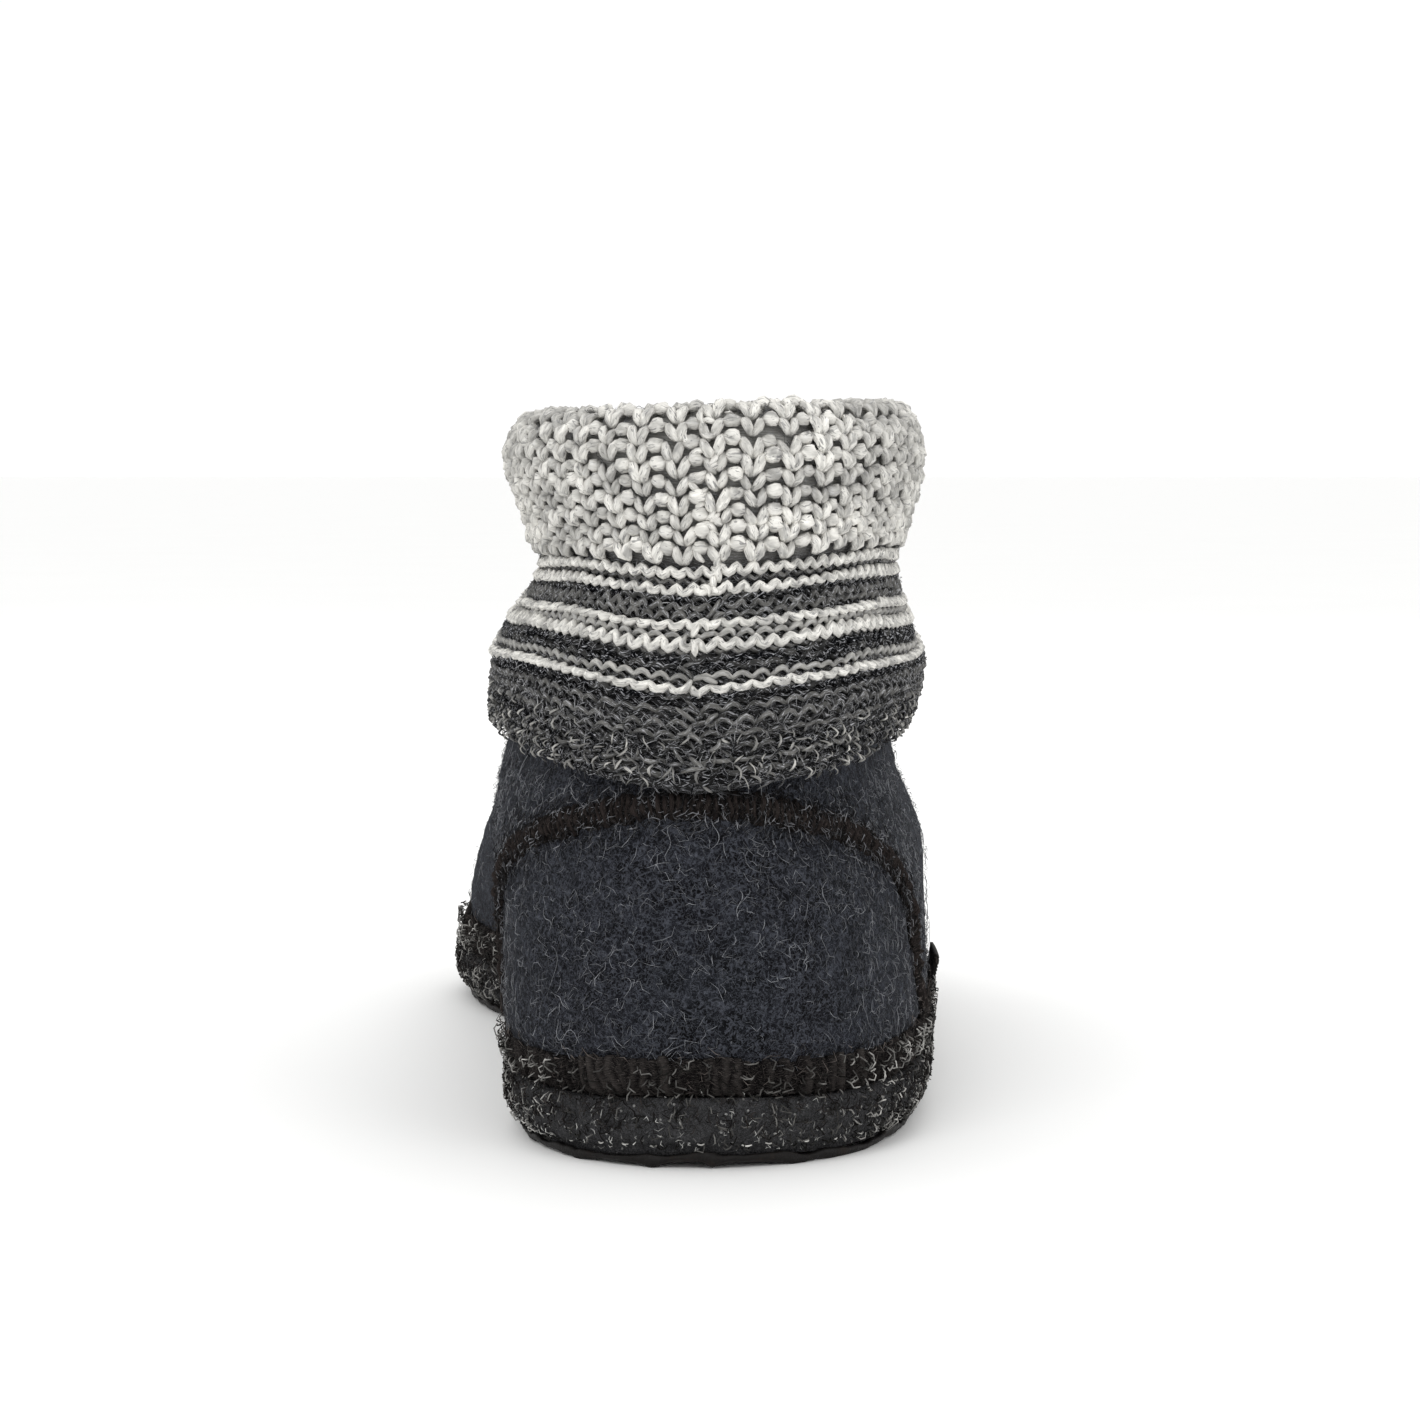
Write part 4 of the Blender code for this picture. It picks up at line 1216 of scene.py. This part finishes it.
@dataclass
class WoolUpper:
    """Boiled-wool upper: one felted shell, its soft creases and the hairs on it."""

    shape: SlipperShape
    around: int = 256
    # Girth and height, in millimetres, that the creases are drawn on, and the sections over
    # which the relief dies out towards the sole and the collar
    girth: float = 560.0
    height: float = 80.0
    fade: float = 0.5
    finish: Finish = Felt(
        "navy_boiled_wool_felt", base="#24262C", deep="#040405", fibre="#575A63",
        sheen=0.02, sheen_tint="#AEB9CC", specular=0.08,
    )
    # Creases and swells placed one by one: turn, climb, heading in degrees, half length,
    # half width and height, in millimetres; a height below 0 is a trough
    creases: tuple[tuple[float, ...], ...] = (
        (0.52, 0.60, 90, 26, 3.2, -2.0),
        (0.47, 0.52, 80, 22, 3.0, -1.7),
        (0.56, 0.49, 98, 20, 3.0, -1.5),
        (0.50, 0.44, 90, 30, 4.5, 1.3),
        (0.30, 0.55, 60, 24, 4.0, -1.5),
        (0.70, 0.55, -60, 24, 4.0, -1.5),
        (0.10, 0.62, 75, 16, 3.5, -0.7),
        (0.90, 0.60, -75, 16, 3.5, -0.7),
        (0.22, 0.25, 88, 26, 6.0, -0.6),
        (0.78, 0.25, -88, 26, 6.0, -0.6),
        (0.03, 0.20, 85, 18, 5.0, 0.5),
        (0.97, 0.34, 80, 14, 5.0, -0.5),
    )

    def build(self) -> None:
        """Makes the shell and its hairs."""
        publish(self.shell(), "upper_wool", self.finish, Slot.BOILED_WOOL, "upper")
        cloth = self.shape.upper_cloth()
        finish = Thread("wool_hair", dark="#191A1F", light="#A0A2A7")
        rng = np.random.default_rng(41)
        length, radius, sides = (1.6, 5.2), (0.035, 0.065), 0.055
        near, far = Hairs(4500, length, radius, 43, 760, steps=4), Hairs(3400, length, radius, 42, 760)
        for name, hairs, turns, top in (
            ("upper_hairs_heel", near, (-0.17, 0.17), 0.74),
            ("upper_hairs", far, (0, 1), 0.98),
        ):
            turn, climb = rng.uniform(*turns, hairs.count), rng.uniform(0.03, top, hairs.count)
            # Painted rim light: hairs more than 0.055 of a turn from the back are paler, power 1.5
            # against 2.6
            tone = rng.uniform(0, 1, hairs.count) ** np.where(np.abs(turn) > sides, 1.5, 2.6)
            publish(hairs.grow(cloth, turn, climb, tone), name, finish, Slot.BOILED_WOOL)
        long = Hairs(170, (5, 12), (0.05, 0.09), 47, 300.0, steps=12)
        turn, climb = rng.uniform(0, 1, long.count), rng.uniform(0.05, 0.8, long.count)
        surface = long.grow(cloth, turn, climb, rng.uniform(0.3, 0.9, long.count))
        publish(surface, "upper_long_hairs", finish, Slot.BOILED_WOOL)

    def relief(self, phi: Array, level: Array) -> Array:
        """Height over the plain section surface: lumps of the felt and the placed creases.

        A crease is height * exp(-(across / half width) ** 2) * exp(-(along / half length) ** 2).
        """
        turn, climb = phi / math.tau, level / self.shape.collar
        total = 0 * turn
        for size, cells, seed in ((0.35, (34, 9), 51), (0.22, (80, 20), 52), (0.12, (190, 46), 53)):
            total = total + size * lattice(turn, climb, cells, seed)
        for place, at, heading, along, across, rise in self.creases:
            x = ((turn - place + 0.5) % 1 - 0.5) * self.girth
            y = (climb - at) * self.height
            sine, cosine = math.sin(math.radians(heading)), math.cos(math.radians(heading))
            forth, aside = x * sine + y * cosine, x * cosine - y * sine
            total = total + rise * np.exp(-((aside / across) ** 2) - (forth / along) ** 2)
        edge = np.clip(np.minimum(level, self.shape.collar - level) / self.fade, 0, 1)
        return total * edge * MM

    def shell(self) -> Surface:
        """Outer face with its relief, rim, inner face: one surface closed both ways."""
        shape = self.shape
        phi = shape.upper_angles(2.0, self.around)
        angle, level = np.meshgrid(phi, np.linspace(0, shape.collar, 89))
        outer = shape.upper_offset(angle, level, self.relief(angle, level))
        angle, level = np.meshgrid(phi, np.linspace(shape.collar, 0, 13))
        inner = shape.upper_offset(angle, level, -shape.upper_wall)
        outer[0], inner[-1] = shape.seated(outer[0]), shape.seated(inner[-1])
        return grid(np.concatenate([outer, inner]), (True, True)).facing_out()


@dataclass
class HeelBand:
    """Arched band of close stitches over the seam between the heel panel and the sides."""

    shape: SlipperShape
    rib_pitch: float = 1.25 * MM
    sunk: float = 0.4 * MM
    steps: int = 560
    hairs: Hairs = Hairs(2600, (1.2, 3.2), (0.05, 0.13), 65, rise=(1.1, 0.7))
    finish: Finish = WoolYarn(
        "brown_black_wool_yarn", dark="#0A0909", light="#3E3735", pale_fibre="#645E5B",
        dark_fibre="#141110", marl=0.5,
    )

    def build(self) -> None:
        """Makes the band and the stray fibres along its edges."""
        publish(self.band(), "heel_band_stitching", self.finish, Slot.BAND_YARN, "heel_band")
        fuzz = Thread("band_fuzz", dark="#0C0A0A", light="#85868A")
        publish(self.fuzz(), "heel_band_fuzz", fuzz, Slot.BAND_YARN)

    def fuzz(self) -> Surface:
        """Fibres that stick out of the stitches and cross the band's edges."""
        rng = np.random.default_rng(64)
        count, cloth = self.hairs.count, self.shape.upper_cloth()
        phi, level = self.shape.heel_band_path(rng.uniform(0.12, math.pi - 0.12, count))
        turn = cloth.turn_at(phi)
        climb = cloth.climb_near(turn, self.shape.upper_points(phi, level)[:, 2])
        climb = climb + rng.normal(0, 0.032, count)
        turn = turn + rng.normal(0, 0.005, count)
        tone = rng.uniform(0, 1, count)
        return self.hairs.grow(cloth, turn, climb, np.where(tone > 0.80, tone, tone**4))

    def band(self) -> Surface:
        """Cross-sections along the arch; every rib is one stitch lying across the band."""
        shape = self.shape
        phi, level = shape.heel_band_path(np.linspace(0, math.pi, self.steps))
        middle, normal = shape.upper_points(phi, level), shape.upper_normals(phi, level)
        across = np.cross(normal, unit(np.gradient(middle, axis=0)))
        reach = np.concatenate([[0], np.cumsum(np.linalg.norm(np.diff(middle, axis=0), axis=1))])
        wide, far = np.meshgrid(np.linspace(-0.5, 0.5, 11), reach)
        along = far / reach[-1]
        stray = 0.5 * lattice(along, wide + 0.5, (60, 3), 63)
        stitch = np.abs(np.sin(math.pi * (far / self.rib_pitch + 0.25 * wide + stray)))
        full = (1 - (2 * np.abs(wide)) ** 2) * (0.50 + 0.75 * stitch)
        jitter = 0.45 * lattice(along, wide + 0.5, (170, 3), 61)
        height = shape.clearance + np.clip(full + jitter * full, 0, 2) * shape.heel_band_thickness
        edge = wide * (1 + 0.26 * lattice(along, wide * 0, (230, 1), 62))
        width = (edge * shape.heel_band_width)[..., None] * across[:, None]
        top = middle[:, None] + width + height[..., None] * normal[:, None]
        under = middle[:, None] + width[:, ::5] - self.sunk * normal[:, None]
        sections = np.concatenate([top, under[:, ::-1]], axis=1)
        # Painted shade: the tone rises with each stitch's crest and with the jitter that also raises
        # it, so the grooves between stitches are darker
        tone = np.clip(0.04 + 1.0 * (stitch - 0.5) + 0.6 * jitter, 0, 1)
        return bar(sections, np.concatenate([tone, 0 * tone[:, ::5]], axis=1))


@dataclass
class Welt:
    """Overcast band round the foot of the upper: strands of yarn side by side."""

    shape: SlipperShape
    strands: int = 326
    samples: int = 5
    rows: int = 10
    sunk: float = 0.3 * MM
    above: Hairs = Hairs(1700, (1.2, 3.4), (0.06, 0.12), 76, rise=(1.2, 1.4))
    below: Hairs = Hairs(2400, (1.0, 3.0), (0.08, 0.16), 77, rise=(0.8, 0.8))
    finish: Finish = WoolYarn(
        "brown_black_overcast_yarn", dark="#131112", light="#5C5754", pale_fibre="#6A6562",
        dark_fibre="#171413", marl=0.6,
    )

    def build(self) -> None:
        """Makes the band and its fuzz."""
        publish(self.band(), "welt_overcasting", self.finish, Slot.WELT_YARN, "welt")
        fuzz = Thread("brown_black_fuzz", dark="#0C0A0A", light="#6E6763")
        publish(self.fuzz(), "welt_fuzz", fuzz, Slot.WELT_YARN)

    def fuzz(self) -> Surface:
        """Curled ends of the overcasting yarn, over the welt's upper edge and the felt's."""
        rng = np.random.default_rng(75)
        cloth, high, low = self.shape.upper_cloth(), self.above.count, self.below.count
        turn = rng.uniform(0, 1, high)
        _, height = cloth.scales(turn, 0.02)
        climb = rng.uniform(0.1, 1.25, high) * self.shape.welt_height / height
        above = self.above.grow(cloth, turn, climb, rng.uniform(0, 1, high) ** 2)
        turn = rng.uniform(0, 1, low)
        climb = 1 - rng.uniform(0, 1, low) ** 1.4 * 0.50
        tone = rng.uniform(0, 0.5, low) ** 2
        return above + self.below.grow(self.shape.sole_cloth(), turn, climb, tone)

    def band(self) -> Surface:
        """Closed both ways: outer face with slanted strands, inner face on the upper."""
        shape = self.shape
        count = self.strands * self.samples
        phi = shape.upper_angles(0.3, count)
        top_level = float(shape.level_at_height(shape.feather + shape.welt_height + shape.heel_lift))
        share = np.linspace(0, 1, self.rows)
        angle, part = np.meshgrid(phi, share)
        turn = np.arange(count)[None] / count * np.ones((self.rows, 1))
        slant = 0.35 * part + 0.55 * lattice(turn, part * 0.9, (120, 3), 72)
        strand = np.abs(np.sin(math.pi * (turn * self.strands + slant)))
        number = np.floor(turn * self.strands + slant)
        uneven = lattice(number / self.strands, part * 0, (self.strands, 1), 71)
        profile = np.clip(np.sin(math.pi * (0.10 + 0.84 * part)), 0, 1) ** 0.5
        height = shape.welt_thickness * profile * (0.45 + 0.45 * strand + 0.35 * uneven)
        ragged = 1 + 0.16 * uneven * part
        outer = shape.upper_offset(angle, part * top_level * ragged, shape.clearance + height)
        angle, back = np.meshgrid(phi, share[::-3])
        inner = shape.upper_offset(angle, back * top_level, -self.sunk)
        outer[0], inner[-1] = shape.seated(outer[0]), shape.seated(inner[-1])
        # Painted shade: the tone rises with each strand's crest and with the unevenness that also
        # thickens it, so the grooves between strands are darker; it also darkens towards the top
        tone = np.clip(0.05 + 0.42 * (strand - 0.45) + 0.25 * uneven - 0.15 * part, 0, 1)
        tones = np.concatenate([tone, np.zeros(inner.shape[:2])])
        return grid(np.concatenate([outer, inner]), (True, True), tones).facing_out()


@dataclass
class Sole:
    """Felt sole with its boucle side and overlock threads, insole and rubber tread."""

    shape: SlipperShape
    # Lowest ring of the felt, which laps over the tread: share of its inset, height, unevenness
    lap: Triple = (0.94, 1.6 * MM, 0.3 * MM)
    loops: int = 3300
    loop_radius: float = 0.15 * MM
    stitches: int = 90
    stitch_radius: float = 0.16 * MM
    fleck_hairs: Hairs = Hairs(2600, (0.4, 1.8), (0.05, 0.11), 94, 500, (0.65, 0.5), 0.9)
    felt: Finish = Felt(
        "marled_grey_sole_felt", base="#444445", deep="#222223", fibre="#6A6A6D",
        fibre_share=0.45, fleck="#C8C8C6", fleck_share=0.60, patch=2.4, curl=1.2,
        sheen=0.02, specular=0.06,
    )
    inside: Finish = Felt(
        "grey_insole_felt", base="#6E6F73", deep="#55565A", fibre="#A2A3A6",
        fibre_share=0.35, patch=6.0, curl=2.0,
    )
    rubber: Finish = Rubber("crepe_rubber")
    # Hollows of the insole: place along the foot, half width, half length
    heel_dish: Triple = (0.002, 0.024, 0.024)
    ball_dish: Triple = (0.150, 0.032, 0.030)
    floor_gap: float = 0.1 * MM
    # Bigger lugs at the heel, listed: place across the heel in mm, depth
    drips: tuple[tuple[float, float], ...] = (
        (-11.4, 1.5), (-1.0, 1.2), (13.8, 1.8), (-24.0, 0.9), (25.0, 0.8)
    )
    # Rim's cross-section: share of the outsole's inset, height in mm
    rim: tuple[tuple[float, float], ...] = (
        (1.04, 0.9), (0.88, 0.3), (0.70, 0.7), (0.60, 1.5), (0.74, 1.8), (1.02, 1.7)
    )

    def build(self) -> None:
        """Makes the felt pieces and gives the tread its finish."""
        self.cloth, self.upper_map = self.shape.sole_cloth(), self.shape.upper_cloth()
        loops = Thread("overlock_thread", dark="#12110F", light="#C9C7C3")
        fleck = Thread("pale_sole_fibre", dark="#1E1E1F", light="#E4E4E0")
        white = Thread("white_lockstitch_thread", dark="#8D8C88", light="#F2F1EC")
        for surface, name, finish, slot, *nodes in (
            (self.felt_slab(), "felt_sole_boucle", self.felt, Slot.SOLE_FELT, "felt_sole"),
            (self.insole(), "insole_felt", self.inside, Slot.INSOLE_FELT, "insole"),
            (self.overlock(), "sole_overlock_loops", loops, Slot.SOLE_FELT),
            (self.flecks(), "sole_flecks", fleck, Slot.SOLE_FELT),
            (self.dashes(), "sole_stitch_dashes", white, Slot.SOLE_FELT),
            (self.tread_edge(), "tread_edge", self.rubber, Slot.RUBBER),
        ):
            publish(surface, name, finish, slot, *nodes)
        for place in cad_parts["outsole"].material_slots:
            place.material = self.rubber.material()
        LOG.info("outsole: CAD node kept, finish %s", self.rubber.name)

    def felt_slab(self) -> Surface:
        """Side rows of the map with curly lumps, lapped over the tread, closed by strips."""
        turn, climb = np.meshgrid(np.arange(760) / 760, np.linspace(0, 1, 14))
        edge = np.sin(math.pi * climb) ** 0.5
        lumps = 0.62 * lattice(turn, climb, (370, 7), 81) + 0.36 * lattice(turn, climb, (150, 3), 82)
        points, _ = self.cloth.place(turn, climb, lumps * edge * MM)
        share, height, uneven = self.lap
        phi = self.cloth.angle_at(turn[0])
        low = self.shape.sole_ring(phi, share * self.shape.outsole_inset, height)
        low[:, 2] += uneven * lattice(turn[0], 0 * turn[0], (210, 1), 83)
        return slab(np.concatenate([low[None], points]))

    def insole(self) -> Surface:
        """Slab inside the wall; rings shrink to its middle line, dished under heel and ball."""
        shape, count = self.shape, 240
        phi = np.arange(count) * 2 * math.pi / count
        inset = -shape.upper_wall - 2 * shape.clearance
        top_level = shape.insole_thickness / (shape.upper_sections[1, 0] * shape.heel_height)
        low, high = (shape.seated(shape.upper_offset(phi, at, inset)) for at in (0.0, top_level))
        middle = (high + np.roll(high[::-1], 1, axis=0)) / 2
        rings = [low]
        for keep in (1.0, 0.985, 0.95, 0.88, 0.75, 0.60, 0.45, 0.30, 0.15):
            ring = middle + (high - middle) * keep
            ring[:, 1] = middle[:, 1]
            heel, ball = (
                np.exp(-((ring[:, 0] / wide) ** 2) - ((ring[:, 1] - place) / long) ** 2)
                for place, wide, long in (self.heel_dish, self.ball_dish)
            )
            drop = (0.35 * (keep == 1.0) + 0.9 * heel + 0.6 * ball * (1 - keep)) * MM
            ring[:, 2] += shape.insole_thickness - drop
            rings.append(ring)
        return slab(np.array(rings))

    def overlock(self) -> Surface:
        """Curly loops of overlock thread, thickest on the sides and round the forefoot.

        A loop is a small arch: along the side by half its width * cos t, off it by
        its height * sin t, and up or down by a small twist.
        """
        rng = np.random.default_rng(91)
        cloth, upper = self.cloth, self.upper_map
        turn = rng.uniform(0, 1, self.loops)
        behind = np.abs((turn + 0.5) % 1 - 0.5)
        turn = turn[(behind > 0.05) | (rng.uniform(0, 1, len(turn)) < 0.60)][:, None]
        one = turn.shape
        t = np.linspace(0, math.pi, 4)
        heading = rng.uniform(0, math.pi, one)
        size = rng.uniform(0.50, 1.35, one) * MM
        twist = rng.normal(0, 0.9, one) * np.sin(2 * t)
        x = (np.cos(t) * np.cos(heading) + 0.4 * twist * np.sin(heading)) * size
        y = (np.cos(t) * np.sin(heading) - 0.4 * twist * np.cos(heading)) * size
        lift = (0.3 + np.sin(t) * rng.uniform(0.4, 1.3, one)) * MM
        height = rng.uniform(0.10, 1.75, one) * cloth.height
        low = cloth.place(turn + x / cloth.girth, np.clip((height + y) / cloth.height, 0, 1), lift)
        around = upper.turn_at(cloth.angle_at(turn))
        across, tall = upper.scales(around, 0.02)
        above = np.clip((height - cloth.height + y) / tall, 0, 1)
        welt = self.shape.welt_thickness + self.shape.clearance
        high = upper.place(around + x / across, above, lift + welt)
        over = (height > cloth.height)[..., None]
        points, up = (np.where(over, there, here) for there, here in zip(high, low))
        at_heel = np.abs((turn[:, 0] + 0.5) % 1 - 0.5) < 0.045
        tone = rng.uniform(0, 1, len(turn)) ** 2.2 * np.where(at_heel, 0.3, 1.0)
        return tubes(points, self.loop_radius, up, 3, tone=tone)

    def flecks(self) -> Surface:
        """Short pale fibres lying in the felt's side, most of them on its lower half."""
        rng = np.random.default_rng(93)
        count = self.fleck_hairs.count
        climb = rng.beta(1.3, 2.0, count)
        turn, tone = rng.uniform(0, 1, count), rng.uniform(0, 1, count) ** 2.4
        return self.fleck_hairs.grow(self.cloth, turn, climb, tone)

    def tread_edge(self) -> Surface:
        """Wavy rim of rubber along the felt's lower edge, with small drips at the lugs.

        A closed band round the sole whose upper and lower lines wander by smooth noise.
        """
        shape, count = self.shape, 1100
        phi = shape.upper_angles(0.0, count)
        turn = np.arange(count) / count
        wave, fine, lug = (
            lattice(turn, 0 * turn, (cells, 1), seed)
            for cells, seed in ((120, 97), (310, 98), (64, 99))
        )
        lug = np.clip(lug - 0.45, 0, 1) / 0.55
        plan = shape.sole_ring(phi, shape.outsole_inset, 0.0)
        for x, deep in self.drips:
            lug = lug + deep * np.exp(-np.abs(plan[:, 0] / MM - x) / 1.3) * (plan[:, 1] < 0)
        rings = []
        for share, height in self.rim:
            ring = shape.sole_ring(phi, share * shape.outsole_inset, height * MM)
            stray = 0.50 * wave + 0.30 * fine if height > 1.2 else 0.30 * fine - 1.2 * lug
            ring[:, 2] = np.maximum(ring[:, 2] + stray * MM, self.floor_gap)
            rings.append(ring)
        return grid(np.array(rings), (True, True)).facing_out()

    def dashes(self) -> Surface:
        """White stitches that show now and then just over the tread, each 1 to 2 mm long."""
        rng = np.random.default_rng(95)
        count, one = self.stitches, (self.stitches, 1)
        turn = (np.arange(count) + rng.uniform(-0.3, 0.3, count))[:, None] / count
        s = np.linspace(-0.5, 0.5, 5)
        turn = turn + rng.uniform(0.9, 2.0, one) * MM * s / self.cloth.girth
        climb = 0.16 + rng.normal(0, 0.03, one)
        points, up = self.cloth.place(turn, climb, (0.15 + 0.25 * np.cos(math.pi * s)) * MM)
        return tubes(points, self.stitch_radius, up, 4, tone=rng.uniform(0.1, 1, count))


@dataclass
class SideTab:
    """Blank folded tape that stands up from the welt on the outer side."""

    shape: SlipperShape
    rib_pitch: float = 0.8 * MM
    rib_height: float = 0.12 * MM
    finish: Finish = WoolYarn(
        "black_twill_tape", dark="#100F0E", light="#3A3734", pale_fibre="#4A4440",
        dark_fibre="#1B1715", marl=0.3, twist=1.4, sheen=0.1, roughness=0.75,
    )

    def build(self) -> None:
        """Makes the tape."""
        shape = self.shape
        spots = np.linspace(0, math.pi, 400)
        along = shape.upper_points(spots, 0.0)[:, 1]
        ends = np.interp((shape.tab_start, shape.tab_start + shape.tab_length), along, spots)
        low = shape.feather + shape.heel_lift + 2 * shape.clearance
        share = np.linspace(0, 1, 46)
        levels = shape.level_at_height(low + shape.tab_height * share)
        base = shape.welt_thickness + 2 * shape.clearance
        level, angle = np.meshgrid(levels, np.linspace(*ends, 40))
        part = np.broadcast_to(share, level.shape)
        ribs = self.rib_height * np.sin(math.tau * part * shape.tab_height / self.rib_pitch)
        full = shape.tab_thickness * np.sqrt(1 - 0.7 * np.clip((part - 0.9) / 0.1, 0, 1) ** 2)
        outer = shape.upper_offset(angle, level, base + full + ribs)
        inner = shape.upper_offset(angle, level, base)
        sections = np.concatenate([inner[:, ::5], outer[:, ::-1]], axis=1)
        publish(bar(sections, 0.12), "side_tab_tape", self.finish, Slot.TAPE, "side_tab")


def enter(name: str, data: bpy.types.ID, place: Triple, angles: Triple) -> bpy.types.Object:
    """Puts a light or a camera into the scene at a place, turned by Euler angles."""
    holder = bpy.data.objects.new(name, data)
    holder.location, holder.rotation_euler = place, angles
    bpy.context.scene.collection.objects.link(holder)
    return holder


@dataclass
class Studio:
    """Plain pale floor, soft light from all round and the camera behind the heel."""

    camera_place: Triple = (-0.0012, -0.636, 0.124)
    pitch: float = math.radians(4.0)
    sensor: float = 36.0
    lens: float = 3430 / 1420 * 36  # focal length and picture width in pixels, times the sensor
    floor_half: float = 60.0
    aim: Triple = (0.0, 0.06, 0.06)
    sky: float = 1.03
    # Square soft boxes: name, place, side in metres, power in watts
    boxes: tuple[tuple[str, Triple, float, float], ...] = (
        ("key", (-0.7, -1.3, 1.5), 0.9, 8.0),
        ("fill", (1.0, -1.0, 0.7), 0.8, 3.0),
        ("back", (0.2, 1.4, 1.2), 1.0, 5.0),
    )

    def build(self) -> None:
        """Makes the floor, the world, the lights and the camera."""
        x, y = np.meshgrid(*[np.linspace(-self.floor_half, self.floor_half, 5)] * 2)
        floor = grid(np.stack([x, y, 0 * x], -1), (False, False)).to_object("studio_floor")
        floor.data.materials.append(Paint("pale_studio_floor", roughness=0.8).material())
        scene = bpy.context.scene
        scene.world = bpy.data.worlds.new("studio")
        scene.world.use_nodes = True
        tree = scene.world.node_tree
        plug(tree, tree.nodes["Background"], {"Color": (1.0, 1.0, 1.0, 1.0), "Strength": self.sky})
        for name, place, size, power in self.boxes:
            lamp = bpy.data.lights.new(name, "AREA")
            lamp.size, lamp.energy = size, power
            away = np.array(place) - self.aim
            tilt, yaw = math.acos(away[2] / np.linalg.norm(away)), math.atan2(away[0], -away[1])
            enter(name, lamp, place, (tilt, 0.0, yaw))
        camera = bpy.data.cameras.new("rear_camera")
        camera.lens, camera.sensor_width, camera.clip_start = self.lens, self.sensor, 0.01
        level = math.pi / 2 - self.pitch
        scene.camera = enter("rear_camera", camera, self.camera_place, (level, 0.0, 0.0))
        scene.view_settings.view_transform = "Standard"


def main() -> None:
    """Builds the slipper from the floor upwards, then the studio."""
    logging.basicConfig(level=logging.INFO, format="%(name)s: %(message)s")
    shape = SlipperShape()
    for assembly in (Sole(shape), WoolUpper(shape), Welt(shape), HeelBand(shape), SideTab(shape)):
        assembly.build()
    KnittedCuff(shape).build()
    Studio().build()


if __name__ == "__main__":
    main()
